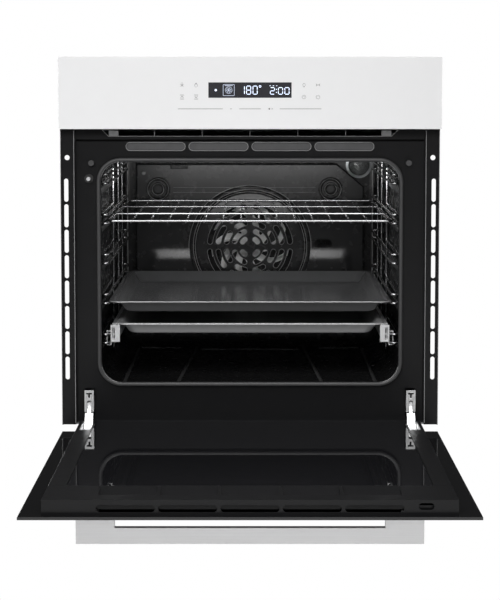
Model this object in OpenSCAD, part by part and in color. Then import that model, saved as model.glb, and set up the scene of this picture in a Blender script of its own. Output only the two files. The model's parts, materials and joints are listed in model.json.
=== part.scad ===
// Built-in wall oven with a glass control panel and a drop-down glass door.
// Millimetres. X runs to the right, Y into the oven, Z up.
// The origin is the centre of the underside, which rests on the niche shelf.
// Inside the modules Y = 0 is the cabinet's front face, and at_origin() moves it.

/* [Front] */
// Width of the control panel and the door glass
front_w = 595; // [594:1:596]
// Height from the door's lower edge to the panel's upper edge
front_h = 595; // [594:1:596]
// Height of the control panel
panel_h = 112; // [108:1:116]
// How far the front glass stands ahead of the cabinet's face
front_depth = 22; // [22:0.5:23]
// Thickness of the front glass
glass_t = 4; // [3:0.5:4]

/* [Body] */
// Depth of the casing behind the cabinet's face
body_d = 545; // [540:1:560]
// Height of the casing
body_h = 575; // [574:1:578]
// Width of the casing
body_w = 556; // [556:1:558]

/* [Cavity] */
// Inner width of the cavity
cavity_w = 484; // [482:1:485]
// Height of the front opening
opening_h = 350; // [346:1:352]
// Width of the front opening
opening_w = 470; // [466:1:470]
// Distance between two shelf levels
level_pitch = 64; // [62:1:65]

/* [Door] */
// Width of the door's inner frame
door_frame_w = 536; // [534:1:538]
// Length of the handle
handle_w = 449; // [400:1:460]
// How far the handle stands out from the glass
handle_out = 36.4; // [34:0.2:45]

/* [Hidden] */
$fn = 48;

eps = 0.1;                       // overrun of a cut
sheet = 1.2;                     // thickness of folded sheet steel
mid_y = (2 + body_d - 1.4) / 2;  // middle of the base plate, from the cabinet's face

// Heights and depths that the parts share
panel_top = front_h - 14;        // the door glass hangs 14 below the base
panel_low = panel_top - panel_h;
door_low = -14;
door_top = panel_low - 4;
front_y = -front_depth;
glass_back_y = front_y + glass_t;
face_y = 9;                      // recessed face that carries the gasket
recess_x = 276.5;                // half width of the recess between the flanges
seal_y = 1.5;                    // front of the gasket
door_in_y = 1.2;                 // oven side of the closed door
open_low = 66.6;                 // lower edge of the front opening
open_mid_z = open_low + opening_h / 2;
open_r = 32;
cav_x = cavity_w / 2;
cav_low = 50;
cav_top = 425;
cav_back = 485;
cav_wall = 1.5;
baffle_y = 448;                  // visible rear panel
baffle_low = 70;
baffle_top = 389;
baffle_x = 211.5;
fan_z = 235;
fan_pos = [0, baffle_y, fan_z];

// Shelf levels: z of the lower guide wire of level n
function guide_z(n) = 316.9 - level_pitch * (4 - n);
guide_x = 226;
guide_r = 2;
guide_gap = 14;
rack_y0 = 28;
rack_y1 = 438;
post_x = 237.2;
post_r = 2.5;
post_ys = [245, 346, 430];
rack_low = 72;
rack_top = 404;

// Door pivot and hinge, seen with the door closed
pivot_y = -11.3;
pivot_z = -4.2;
pin_r = 2.5;
hinge_x = 254.5;                 // middle of each hinge
arm_t = 5;
clip_w = 14.6;
clip_pin_y = 3;
clip_pin_z = 32;
clip_pin_r = 1.6;
run_gap = 0.05;                  // radial clearance of a pin that turns
channel_in = 16;                 // inner width of the hinge channel
vent_low = 383.5;                // lower edge of the door's top vent bar
vent_top = 453;

// Small front fittings
bumper_x = 249.6;
bumper_z = 414.8;
bumper_stem_r = 2.5;
switch_x = -253.8;
switch_z = 390;
switch_travel = 4;
switch_sleeve_r = 5;
hinge_hole_w = 16;
hinge_hole_z = [10, 56];

// ---------- helpers ----------
module at_origin() translate([0, -mid_y, 0]) children();

module block(x0, x1, y0, y1, z0, z1)
    translate([x0, y0, z0]) cube([x1 - x0, y1 - y0, z1 - z0]);

module both_sides() {
    children();
    mirror([1, 0, 0]) children();
}

module rod_x(x0, x1, y, z, r) translate([x0, y, z]) rotate([0, 90, 0]) cylinder(r = r, h = x1 - x0);
module rod_y(y0, y1, x, z, r) translate([x, y1, z]) rotate([90, 0, 0]) cylinder(r = r, h = y1 - y0);
module rod_z(z0, z1, x, y, r) translate([x, y, z0]) cylinder(r = r, h = z1 - z0);

// Turns a drawing in X and Z into a prism from y0 to y1
module prism_y(y0, y1) translate([0, y1, 0]) rotate([90, 0, 0]) linear_extrude(y1 - y0) children();

// Turns a drawing in Y and Z into a prism from x0 to x1
module prism_x(x0, x1)
    translate([x0, 0, 0]) rotate([90, 0, 90]) linear_extrude(x1 - x0) children();

module rounded(w, h, r) {
    square([w - 2 * r, h], center = true);
    square([w, h - 2 * r], center = true);
    for (i = [-1, 1], j = [-1, 1]) translate([i * (w / 2 - r), j * (h / 2 - r)]) circle(r);
}

module stadium(length, width) {
    square([length - width, width], center = true);
    for (i = [-1, 1]) translate([i * (length - width) / 2, 0]) circle(d = width);
}

// Half a torus that joins two rods bend_r to each side of the middle, opening along +Y
module bend_xy(x, y, z, bend_r, r, flip = 0) translate([x, y, z]) rotate([0, 0, flip])
    rotate_extrude(angle = 180) translate([bend_r, 0]) circle(r);

// The drop-down door, drawn closed, as it stands at rest: fully open
module opened()
    translate([0, pivot_y, pivot_z]) rotate([90, 0, 0]) translate([0, -pivot_y, -pivot_z]) children();

// ---------- body front ----------
slot_count = 8;
slot_pitch = 40.3;
slot_first_z = 90.3;
slot_x = 288.5;
fixing_x = 286.8;
fixing_z = 423.6;
fixing_r = 4;
steam_slot_count = 4;
steam_slot_pitch = 99;
steam_slot_z = 440.7;

module flange_holes() {
    for (i = [0 : slot_count - 1]) prism_y(-sheet - eps, eps)
        translate([slot_x, slot_first_z + i * slot_pitch]) rotate(90) stadium(36.4, 6.6);
    rod_y(-sheet - eps, eps, fixing_x, fixing_z, fixing_r);
}

module front_frame() color("#1d1d1d") difference() {
    union() {
        both_sides() {
            block(recess_x - sheet, front_w / 2, -sheet, 0, 0, body_h - 1.4);
            block(recess_x - sheet, recess_x, -sheet, face_y + sheet, 0, body_h - 1.4);
            block(front_w / 2 - 2.2, front_w / 2, -2.6, 0, 0, panel_low - 1);
        }
        block(-recess_x, recess_x, face_y, face_y + sheet, 1.4, body_h - 1.4);
    }
    both_sides() flange_holes();
    prism_y(face_y - eps, face_y + sheet + eps) {
        opening_outline(0);
        for (i = [0 : steam_slot_count - 1])
            translate([(i - 1.5) * steam_slot_pitch, steam_slot_z]) stadium(92.5, 12.6);
    }
    // hinge openings, switch seat, bumper seats and the air duct's mouth
    both_sides() {
        block(
            hinge_x - hinge_hole_w / 2, hinge_x + hinge_hole_w / 2,
            face_y - eps, face_y + sheet + eps, hinge_hole_z[0], hinge_hole_z[1]
        );
        rod_y(face_y - eps, face_y + sheet + eps, bumper_x, bumper_z, bumper_stem_r);
    }
    rod_y(face_y - eps, face_y + sheet + eps, switch_x, switch_z, switch_sleeve_r);
    block(-232, 232, face_y - eps, face_y + sheet + eps, 457, 478);
}

module cavity_section(grow) translate([0, (cav_low + cav_top) / 2])
    rounded(cavity_w + 2 * grow, cav_top - cav_low + 2 * grow, 28 + grow);

lamp_x = 205;
lamp_z = 385;
lamp_r = 21;
ring_r = 94;
heater_r = 3.25;
grill_z = 418;
grill_x = 50;
probe_x = -178;
probe_z = 411;

// Pressed ribs that stiffen the cavity floor
module floor_ribs() {
    rib_h = 2;
    both_sides() translate([0, 0, cav_low]) linear_extrude(rib_h)
        polygon([[96, 420], [102, 420], [122, 70], [116, 70]]);
    block(-90, 90, 392, 398, cav_low, cav_low + rib_h);
    both_sides() block(128, 205, 408, 414, cav_low, cav_low + rib_h);
}

// Long shallow beads pressed into the side walls
module wall_beads() both_sides() for (z = [110 : level_pitch : 366])
    block(cav_x - 1.5, cav_x + eps, 110, 400, z - 3, z + 3);

module cavity_liner() color("#161616") difference() {
    union() {
        difference() {
            prism_y(face_y + sheet, cav_back + cav_wall) cavity_section(cav_wall);
            prism_y(face_y, cav_back) cavity_section(0);
        }
        floor_ribs();
        wall_beads();
    }
    rod_y(cav_back - eps, cav_back + 2, 0, fan_z, 6);
    rod_y(cav_back - eps, cav_back + 2, lamp_x, lamp_z, lamp_r + 0.2);
    for (x = [-3, 3]) rod_y(cav_back - eps, cav_back + 2, x * grill_x, grill_z, heater_r + 0.15);
    for (x = [-14, 14]) rod_y(cav_back - eps, cav_back + 2, x, fan_z + ring_r - 1, heater_r + 0.15);
    rod_y(cav_back - eps, cav_back + 2, probe_x, probe_z, 3.15);
}

// The front opening's outline, grown all round
module opening_outline(grow) translate([0, open_mid_z])
    rounded(opening_w + 2 * grow, opening_h + 2 * grow, open_r + grow);

module door_gasket() color("#4a4a4a") difference() {
    prism_y(seal_y, face_y) opening_outline(6.5);
    prism_y(seal_y - eps, face_y + eps) opening_outline(0);
    // hollow core of the seal
    prism_y(4, 6.6) difference() {
        opening_outline(5);
        opening_outline(1.75);
    }
}

// ---------- rear baffle with the fan grille ----------
baffle_depth = 36;
dish_r = 113;
dome_r = 98;
dome_out = 8;
baffle_screw_spots = [[-198, 95], [198, 95], [-198, 372]];
boss_xs = [-171, 150];
boss_z = 342;

module baffle_outline(inset) {
    x = baffle_x - inset;
    polygon([
        [-x, baffle_low + inset], [x, baffle_low + inset], [x, 346.5 - inset * 0.4],
        [161.6 - inset * 0.4, baffle_top - inset], [-x, baffle_top - inset]
    ]);
}

// One slot along an arc, from angle a0 to a1, with round ends
module arc_slot(r, a0, a1, width) {
    reach = r + width;
    intersection() {
        difference() {
            circle(r + width / 2);
            circle(r - width / 2);
        }
        polygon([[0, 0], 2 * reach * [cos(a0), sin(a0)], 2 * reach * [cos(a1), sin(a1)]]);
    }
    for (a = [a0, a1]) translate(r * [cos(a), sin(a)]) circle(d = width);
}

module grille_quadrant() {
    translate(16.6 * [cos(45), sin(45)]) rotate(45) stadium(13, 10);
    arc_slot(30, 20, 70, 10);
    arc_slot(44.5, 12, 34, 10);
    arc_slot(44.5, 57, 78, 10);
    arc_slot(59.5, 9, 36, 10);
    arc_slot(59.5, 55, 81, 10);
    arc_slot(75, 7, 39, 10);
    arc_slot(75, 52, 83, 10);
}

module grille_slots() for (i = [0, 1], j = [0, 1])
    mirror([i, 0]) mirror([0, j]) grille_quadrant();

// Profile of the pressed dish: radius against distance ahead of the panel
module dish_profile() polygon(concat(
    [[dish_r + 2, 0], [dish_r, -3], [dish_r - 7, -3], [dish_r - 9, 1.5], [dome_r + 3, 1.5]],
    [for (i = [0 : 12]) let (r = dome_r * (1 - i / 12)) [r, 2.5 + dome_out * (1 - pow(r / dome_r, 2))]],
    [for (i = [12 : -1 : 0]) let (r = dome_r * (1 - i / 12))
        [r, 2.5 - sheet + dome_out * (1 - pow(r / dome_r, 2))]],
    [[dome_r + 3, 1.5 - sheet], [dish_r - 10, 1.5 - sheet], [dish_r - 8, -3 - sheet],
     [dish_r + 1, -3 - sheet], [dish_r + 3, -sheet]]
));

module back_baffle() color("#202020") difference() {
    union() {
        difference() {
            prism_y(baffle_y, baffle_y + baffle_depth) baffle_outline(0);
            prism_y(baffle_y + sheet, baffle_y + baffle_depth + eps) baffle_outline(sheet);
            rod_y(baffle_y - eps, baffle_y + 2, 0, fan_z, dish_r + 2);
        }
        translate(fan_pos) rotate([90, 0, 0]) rotate_extrude() dish_profile();
    }
    prism_y(baffle_y - 15, baffle_y + 6) {
        translate([0, fan_z]) grille_slots();
        translate([137, 240.4]) stadium(31.6, 15.8);
        translate([-132, 384.5]) square([33, 10], center = true);
    }
    for (spot = baffle_screw_spots) rod_y(baffle_y - eps, baffle_y + 2, spot[0], spot[1], 2.2);
    for (x = boss_xs) rod_y(baffle_y - eps, baffle_y + 2, x, boss_z, 9);
}

// Round pressed bosses with the baffle's main fixings
module wall_bosses() color("#2b2b2b") for (x = boss_xs)
    translate([x, baffle_y, boss_z]) rotate([90, 0, 0]) {
        rotate_extrude()
            polygon([[13, 0], [23, 0], [22, 3], [19.5, 4.2], [17, 3], [15.5, 0.8], [13, 0.8]]);
        rotate_extrude() polygon([
            [0, -6], [8.8, -6], [8.8, 0], [12.8, 0], [12.8, 3],
            [11, 4.4], [9.5, 3], [7, 1.6], [0, 1.6]
        ]);
    }

// A pan-head screw along +Z: its shank goes down, its head stands up
module pan_screw(shank, shank_r) rotate_extrude() polygon([
    [0, -shank], [shank_r, -shank], [shank_r, 0], [4.5, 0], [4, 1.8], [2.5, 2.6], [0, 2.8]
]);

module baffle_screws() color("#8a8a8a") for (spot = baffle_screw_spots)
    translate([spot[0], baffle_y, spot[1]]) rotate([90, 0, 0]) pan_screw(12, 2);

// ---------- heaters, lamp and probe ----------
module ring_heater() color("#6b5a50") {
    translate([0, 467, fan_z]) rotate([90, 0, 0]) difference() {
        rotate_extrude() translate([ring_r, 0]) circle(heater_r);
        block(-14, 14, ring_r - 12, ring_r + 12, -5, 5);
    }
    for (x = [-14, 14]) rod_y(466, 505, x, fan_z + ring_r - 1, heater_r - 0.1);
}

module serpentine(z, y0, y1, rear) {
    for (i = [-3, -1, 1, 3]) rod_y(y0, abs(i) == 3 ? rear : y1, i * grill_x, z, heater_r);
    both_sides() bend_xy(2 * grill_x, y0, z, grill_x, heater_r, 180);
    bend_xy(0, y1, z, grill_x, heater_r, 0);
}

module grill_heater() color("#6b5a50") serpentine(grill_z, 95, 375, 505);
module base_heater() color("#6b5a50") serpentine(40, 105, 375, 478);

module lamp_housing() color("#7d7d7d") translate([lamp_x, cav_back, lamp_z]) rotate([90, 0, 0])
    rotate_extrude() polygon([
        [lamp_r, -30], [lamp_r, 0], [lamp_r + 3.5, 0], [lamp_r + 3.5, 3], [lamp_r - 1, 4],
        [lamp_r - 1, -28], [6, -28], [6, -30]
    ]);

module lamp_bulb() color("#fff1cf") translate([lamp_x, cav_back, lamp_z]) rotate([90, 0, 0])
    rotate_extrude() polygon([[0, -34], [5.8, -34], [5.8, -20], [7.5, -14], [7.5, -4], [5, 1], [0, 2.5]]);

module lamp_glass() color("#dfe5e8") translate([lamp_x, cav_back, lamp_z]) rotate([90, 0, 0])
    rotate_extrude() polygon([
        [0, 13], [9, 11.8], [15.5, 8.5], [19.8, 4], [19.8, 1], [17.6, 1], [17.6, 3.5],
        [14, 7], [8.4, 9.8], [0, 11]
    ]);

module temperature_probe() color("#b5b5b5") {
    rod_y(405, 500, probe_x, probe_z, 3);
    rod_y(cav_back + cav_wall, cav_back + cav_wall + 4, probe_x, probe_z, 8);
}

// ---------- shelf supports ----------
stub_r = 1.7;
cross_r = 2.2;
module side_rack() color("#c9c9c9") {
    for (y = post_ys) rod_z(rack_low - post_r, rack_top + post_r, post_x, y, post_r);
    for (z = [rack_low, rack_top]) rod_y(post_ys[0], post_ys[2], post_x, z, cross_r);
    // each guide wire comes forward along the wall, turns inwards and runs back
    for (n = [1 : 5], up = [0, guide_gap]) {
        rod_y(rack_y0, rack_y1, guide_x, guide_z(n) + up, guide_r);
        rod_y(rack_y0, post_ys[0], post_x, guide_z(n) + up, guide_r - 0.1);
        for (y = concat([rack_y0 + guide_r], post_ys)) rod_x(guide_x, post_x, y, guide_z(n) + up, stub_r);
    }
}

module side_rack_right() side_rack();
module side_rack_left() mirror([1, 0, 0]) side_rack();

// Knurled studs that hold the racks to the cavity walls
module rack_studs() color("#9a9a9a") both_sides() for (y = [post_ys[0], post_ys[2]], z = [96, 382])
    rod_x(post_x + post_r + 0.05, cav_x - 0.01, y, z, 5);

// ---------- telescopic runners ----------
rail_z0 = 128;
rail_z1 = 150;

module runner_rail() {
    block(222.4, 223.6, 36, 420, rail_z0, rail_z1);
    for (z = [rail_z0, rail_z1 - sheet]) block(216.4, 223.6, 36, 420, z, z + sheet);
    // clips that wrap the two guide wires of the lowest level
    for (y = [36, 400]) difference() {
        block(222.4, 230, y, y + 8, guide_z(1) - 4.4, guide_z(1) + guide_gap + 4.6);
        block(223.6, 228.8, y - eps, y + 8 + eps, guide_z(1) - 3.2, guide_z(1) + guide_gap + 3.4);
    }
}

module runner_rails() color("#d8d8d8") both_sides() runner_rail();

module runner_middles() color("#cfcfcf") both_sides() {
    block(220.6, 221.8, 38, 418, rail_z0 + 1.8, rail_z1 - 1.8);
    for (z = [rail_z0 + 1.8, rail_z1 - 3]) block(217, 221.8, 38, 418, z, z + sheet);
}

module runner_sliders() color("#e3e3e3") both_sides() {
    block(218.8, 220, 36, 416, rail_z0 + 3.6, rail_z1 - 3.6);
    block(210, 218.8, 36, 416, 137, 139);
    block(210, 211.2, 36, 416, 131, 155.1);
    block(210, 221, 36, 416, 153.9, 155.1);
    // front stop plate
    difference() {
        block(208.5, 223.5, 33.8, 36, 126, 153);
        block(216.8, 221, 33, 37, 128.5, 149.5);
    }
}

// ---------- shelf and trays ----------
shelf_z = guide_z(4) + guide_r + 2.6;
shelf_x = 224.9;
shelf_y0 = 23;
shelf_y1 = 435;
bar_count = 14;
bar_pitch = 29.1;

module wire_shelf() color("#e6e6e6") {
    for (y = [shelf_y0, 150, 285, shelf_y1]) rod_x(-shelf_x, shelf_x, y, shelf_z, 2.3);
    both_sides() rod_y(shelf_y0 - 2.3, shelf_y1 + 2.3, shelf_x, shelf_z, 2.5);
    for (i = [0 : bar_count - 1])
        rod_y(shelf_y0 - 1, shelf_y1, (i - (bar_count - 1) / 2) * bar_pitch, shelf_z - 2.2, 1.5);
}

// A pan with sloping walls under a flat rim
module tapered(w, d, slope, h, r) hull() for (i = [-1, 1], j = [-1, 1]) {
    translate([i * (w / 2 - r), j * (d / 2 - r), h - 0.1]) cylinder(r = r, h = 0.1, $fn = 32);
    translate([i * (w / 2 - r - slope), j * (d / 2 - r - slope), 0])
        cylinder(r = r - 2, h = 0.1, $fn = 32);
}

module tray(rim_w, pan_w, y0, y1, rim_z, deep) {
    wall = 1;
    slope = 12;
    corner_r = 16;
    pan_d = y1 - y0 - 14;
    in_w = pan_w - 2 * wall;
    in_d = pan_d - 2 * wall;
    in_r = corner_r - wall;
    translate([0, (y0 + y1) / 2, rim_z]) difference() {
        union() {
            linear_extrude(wall + 0.2) rounded(rim_w, y1 - y0, corner_r);
            translate([0, 0, wall - deep]) tapered(pan_w, pan_d, slope, deep, corner_r);
        }
        translate([0, 0, 2 * wall - deep]) tapered(in_w, in_d, slope, deep, in_r);
        translate([0, 0, wall - 0.01]) linear_extrude(1) rounded(in_w, in_d, in_r);
    }
}

module upper_tray() color("#2c2d2e")
    tray(453, 424, rack_y0, 424, guide_z(2) + guide_r + 0.05, 18);
module lower_tray() color("#3a3b3c") tray(430, 410, 31, 424, 155.2, 18);

// ---------- casing ----------
module insulation() color("#d9d2b8") difference() {
    union() {
        both_sides() block(244, 262, 95, 480, 66, 446);
        block(-262, 262, 95, 480, 428, 446);
        block(-200, 200, 95, 480, 6, 34);
        block(-225, 225, 487, 505, 90, 410);
    }
    rod_y(486, 506, 0, fan_z, 66);
    block(-24, 24, 486, 506, fan_z + 40, fan_z + 108);
    rod_y(486, 506, lamp_x, lamp_z, lamp_r + 2);
    rod_y(486, 506, probe_x, probe_z, 9);
}

side_x = body_w / 2;

module vent_slots(nx, nz, px, pz, length, width)
    for (i = [0 : nx - 1], j = [0 : nz - 1])
        translate([(i - (nx - 1) / 2) * px, (j - (nz - 1) / 2) * pz]) stadium(length, width);

module casing_sides() color("#b9bdc0") both_sides() difference() {
    block(side_x - sheet, side_x, 0.2, body_d - 1.4, 1.4, body_h - 1.4);
    // beads pressed out of the sheet are left open as louvres
    for (z = [480, 505, 530]) translate([0, 150, 0]) block(side_x - 2, side_x + 1, 0, 90, z, z + 6);
}

module casing_top() color("#b9bdc0") difference() {
    block(-side_x, side_x, face_y + sheet + 0.2, body_d - 1.4, body_h - sheet, body_h);
    translate([0, 375, body_h - 2]) linear_extrude(3) vent_slots(6, 4, 40, 16, 32, 6);
}

module casing_base() color("#b9bdc0") difference() {
    block(-side_x + 2.8, side_x - 2.8, 2, body_d - 1.4, 0, sheet);
    for (y = [120, 430]) translate([0, y, -1]) linear_extrude(3) vent_slots(5, 2, 70, 30, 50, 6);
}

screw_spots = [for (x = [-262, 262], z = [40, 200, 380, 560]) [x, z]];

module casing_back() color("#b9bdc0") difference() {
    union() {
        block(-side_x, side_x, body_d - sheet, body_d, 0, body_h);
        translate([0, body_d - sheet, fan_z]) rotate([-90, 0, 0]) cylinder(r = 78, h = 8);
    }
    rod_y(body_d - 3, body_d + 8 - 2 * sheet, 0, fan_z, 78 - sheet);
    prism_y(body_d - 3, body_d + 12) {
        translate([0, fan_z]) vent_slots(1, 5, 10, 18, 90, 6);
        translate([0, 500]) vent_slots(5, 3, 52, 18, 42, 6);
        translate([0, 60]) vent_slots(6, 2, 60, 18, 46, 6);
    }
    for (spot = screw_spots) rod_y(body_d - 2, body_d + 1, spot[0], spot[1], 2);
}

module casing_screws() color("#8f8f8f") for (spot = screw_spots)
    translate([spot[0], body_d, spot[1]]) rotate([-90, 0, 0]) pan_screw(8, 1.9);

// ---------- convection fan ----------
module motor_bracket() color("#a8a8a8") difference() {
    block(-45, 45, 487, 488.5, fan_z - 45, fan_z + 38);
    rod_y(486, 490, 0, fan_z, 8);
}

module fan_motor() color("#8c8f92") difference() {
    union() {
        rod_y(489, 492, 0, fan_z, 30);
        block(-32, 32, 492, 518, fan_z - 30, fan_z + 30);
        rod_y(518, 526, 0, fan_z, 22);
    }
    rod_y(488, 527, 0, fan_z, 4 + run_gap);
}

module fan_shaft() color("#c0c0c0") rod_y(452, 524, 0, fan_z, 4);

fan_blades = 10;
module convection_fan() color("#c4c6c8") translate([0, 0, fan_z]) rotate([90, 0, 0]) difference() {
    union() {
        translate([0, 0, -478]) cylinder(r = 74, h = 1.2);
        translate([0, 0, -478]) cylinder(r = 10, h = 18);
        for (i = [0 : fan_blades - 1]) rotate(i * 360 / fan_blades)
            translate([34, -0.6, -477.5]) rotate(18) cube([42, 1.2, 20]);
    }
    translate([0, 0, -480]) cylinder(r = 4, h = 25);
}

module fan_nut() color("#9c9c9c") translate([0, 459.9, fan_z]) rotate([90, 0, 0]) difference() {
    cylinder(r = 7.5, h = 6, $fn = 6);
    translate([0, 0, -1]) cylinder(r = 4, h = 8);
}

// ---------- cooling air ----------
duct_low = 452;
duct_top = 482;
duct_front = face_y + sheet + 0.1;
duct_rear = 330;
duct_x = 234;

module air_duct() color("#aeb1b3") {
    // lip that closes the steam slots from behind
    block(-208, 208, duct_front, duct_front + 1, 429, duct_low);
    difference() {
        block(-duct_x, duct_x, duct_front, duct_rear, duct_low, duct_top);
        block(1 - duct_x, duct_x - 1, face_y, duct_rear + 1, duct_low + 1, duct_top - 1);
    }
}

// Trim with the long air outlet under the control panel, and its ribs
trim_x = recess_x - 1.6;
trim_low = 452;
module air_outlet_trim() color("#262626") {
    difference() {
        block(-trim_x, trim_x, 2, 3.2, trim_low, panel_low - 1);
        prism_y(1, 4) polygon([[-222, 457], [222, 457], [232, 467], [-232, 467]]);
    }
    block(-trim_x, trim_x, 3.2, face_y - 0.05, trim_low, trim_low + sheet);
    for (i = [-2 : 2]) block(i * 75 - 0.6, i * 75 + 0.6, 3.2, face_y - 0.2, trim_low + sheet, 466);
    both_sides() block(206, 222, 5, face_y - 0.2, trim_low + sheet, 466);
}

blower_y = 382;
blower_z = 506;
housing_x = 112;
housing_y = [331, 430];
housing_top = 545;
module blower_housing() color("#a6a9ab") difference() {
    block(-housing_x, housing_x, housing_y[0], housing_y[1], duct_low, housing_top);
    block(
        sheet - housing_x, housing_x - sheet,
        housing_y[0] + sheet, housing_y[1] - sheet, duct_low + 1, housing_top - sheet
    );
    // mouth towards the duct, shaft holes and inlet grille
    block(
        sheet - housing_x, housing_x - sheet,
        housing_y[0] - 1, housing_y[0] + 2, duct_low + 1, duct_top - 1
    );
    rod_x(-housing_x - 3, housing_x + 3, blower_y, blower_z, 4);
    translate([0, blower_y, housing_top - 5]) linear_extrude(10) vent_slots(4, 4, 40, 18, 34, 8);
}

module blower_motor() color("#8c8f92") difference() {
    union() {
        rod_x(112.2, 140, blower_y, blower_z, 26);
        block(118, 136, blower_y - 30, blower_y + 30, blower_z - 34, blower_z + 30);
    }
    rod_x(110, 141, blower_y, blower_z, 3 + run_gap);
}

blade_count = 18;
module blower_rotor() color("#7e8285") {
    rod_x(-118, 138, blower_y, blower_z, 3);
    for (x = [-104, -36, 34, 102]) rod_x(x, x + 1.2, blower_y, blower_z, 30);
    for (i = [0 : blade_count - 1]) translate([-104, blower_y, blower_z])
        rotate([i * 360 / blade_count, 0, 0]) translate([0, 25, 0])
            rotate([25, 0, 0]) cube([207, 6, 0.8]);
}

// ---------- control panel ----------
window_w = 129;
window_z0 = 517.5;
window_z1 = 541.4;

module panel_glass() color("#e9e9e9") difference() {
    block(-front_w / 2, front_w / 2, front_y, glass_back_y, panel_low, panel_top);
    block(-window_w / 2, window_w / 2, front_y - 1, glass_back_y + 1, window_z0, window_z1);
}

gap = 0.15;                      // joint round the display window
module display_window() color("#101214")
    block(-window_w / 2 + gap, window_w / 2 - gap, front_y, glass_back_y, window_z0 + gap, window_z1 - gap);

module panel_carrier() color("#c8c8c8") difference() {
    block(-296, 296, glass_back_y, -1.25, panel_low + 1, panel_top - 1);
    block(-294, 294, glass_back_y + 2, 0, panel_low + 3, panel_top - 3);
    block(-66, 66, glass_back_y - 1, glass_back_y + 3, window_z0 - 2, window_z1 + 2);
}

module display_module() color("#2f3a34") {
    block(-64, 64, glass_back_y + 0.1, -10, window_z0 + 0.5, window_z1 - 0.5);
    block(-64, 64, -10, -8.4, window_z0 - 8, window_z1 + 8);
}

module touch_board() color("#2f5d3a") difference() {
    block(-112, 112, -16, -14.4, 492, 562);
    block(-66, 66, -17, -13, window_z0 - 3, window_z1 + 3);
}

module power_board() color("#2f5d3a") {
    block(-250, -120, 60, 250, 492, 493.6);
    block(-240, -205, 75, 120, 493.6, 522);
    block(-195, -170, 80, 130, 493.6, 515);
    for (y = [150, 175, 200]) rod_z(493.6, 515, -225, y, 9);
    for (y = [150 : 24 : 222]) block(-190, -160, y, y + 16, 493.6, 509);
    for (x = [-230, -124], y = [64, 246]) rod_z(duct_top, 492, x, y, 3);
}

module terminal_block() color("#303234") {
    difference() {
        block(-236, -176, body_d, body_d + 24, 480, 530);
        block(-234, -178, body_d + 2, body_d + 25, 482, 518);
    }
    for (i = [0 : 2]) block(-228 + i * 16, -216 + i * 16, body_d + 2, body_d + 16, 486, 514);
}

// ---------- bumpers and door switch ----------
module door_bumpers() color("#555555") both_sides() {
    rod_y(face_y + sheet, face_y + 4, bumper_x, bumper_z, 3.5);
    rod_y(face_y, face_y + sheet, bumper_x, bumper_z, bumper_stem_r);
    rod_y(seal_y, face_y, bumper_x, bumper_z, 4.5);
}

module switch_body() color("#4c4c4c") difference() {
    union() {
        rod_y(face_y - 2.4, face_y, switch_x, switch_z, 7);
        rod_y(face_y, 30, switch_x, switch_z, switch_sleeve_r);
    }
    rod_y(0, 28, switch_x, switch_z, 3 + run_gap);
}

module switch_plunger() color("#8b8b8b") {
    rod_y(seal_y - switch_travel, 22, switch_x, switch_z, 3);
}

// ---------- hinges ----------
module hinge_receiver() {
    difference() {
        block(hinge_x - 9.5, hinge_x + 9.5, face_y + sheet + 0.2, 85, 6, 60);
        block(hinge_x - 8, hinge_x + 8, face_y, 83.5, 7.5, 58.5);
    }
    rod_x(hinge_x - 8.5, hinge_x + 8.5, 45, 12, 2.5);
}

module hinge_receivers() color("#9fa3a6") both_sides() hinge_receiver();

yoke_w = 12.6;

module hinge_arm() {
    difference() {
        union() {
            prism_x(hinge_x - arm_t / 2, hinge_x + arm_t / 2) {
                polygon([
                    [-15.9, -4], [-10, 14], [-3, 26], [-2, 36], [8, 36], [8, 30],
                    [75, 30], [75, 14], [0, 14], [-6.8, -5.5]
                ]);
                translate([pivot_y, pivot_z]) circle(5);
            }
            // broad yoke that straddles the pivot
            prism_x(hinge_x - yoke_w / 2, hinge_x + yoke_w / 2)
                polygon([[-15.9, -4], [-10, 14], [-5, 19], [0, 19], [0, 14], [-6.8, -5.5]]);
        }
        rod_x(hinge_x - yoke_w, hinge_x + yoke_w, pivot_y, pivot_z, pin_r + run_gap);
        rod_x(hinge_x - 4, hinge_x + 4, clip_pin_y, clip_pin_z, clip_pin_r);
        rod_x(hinge_x - 4, hinge_x + 4, 45, 12, 2.8);
    }
    // pin that the lock clip turns on
    rod_x(hinge_x - clip_w / 2, hinge_x + clip_w / 2, clip_pin_y, clip_pin_z, clip_pin_r);
}

module hinge_arms() color("#d5d7d9") both_sides() hinge_arm();

module lock_clip() difference() {
    union() {
        block(hinge_x - clip_w / 2, hinge_x + clip_w / 2, -4.4, -3, 21, 55);
        for (x = [hinge_x - clip_w / 2, hinge_x + clip_w / 2 - sheet])
            prism_x(x, x + sheet) polygon([[-4, 24], [6.2, 28], [6.2, 37], [-4, 46]]);
    }
    // slot that straddles the arm, and the tee-shaped cut for a screwdriver
    block(hinge_x - 3, hinge_x + 3, -5, 0, 20, 36);
    rod_y(-5, 0, hinge_x, 36, 3);
    block(hinge_x - 4.4, hinge_x + 4.4, -5, 0, 48.4, 51);
    block(hinge_x - 1.4, hinge_x + 1.4, -5, 0, 43, 49);
    rod_x(hinge_x - 8, hinge_x + 8, clip_pin_y, clip_pin_z, clip_pin_r + run_gap);
}

module lock_clip_right() color("#e2e4e6") lock_clip();
module lock_clip_left() color("#e2e4e6") mirror([1, 0, 0]) lock_clip();

// ---------- door, drawn closed ----------
channel_top = 240;

module hinge_channel() {
    out = channel_in / 2 + sheet;
    difference() {
        block(hinge_x - out, hinge_x + out, glass_back_y, -1, -9, channel_top);
        block(
            hinge_x - channel_in / 2, hinge_x + channel_in / 2,
            glass_back_y + sheet, 0, -10, channel_top - sheet
        );
        rod_x(hinge_x - out - eps, hinge_x + out + eps, pivot_y, pivot_z, pin_r);
    }
    // the door turns on this pin
    rod_x(hinge_x - out, hinge_x + out, pivot_y, pivot_z, pin_r);
}

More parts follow.
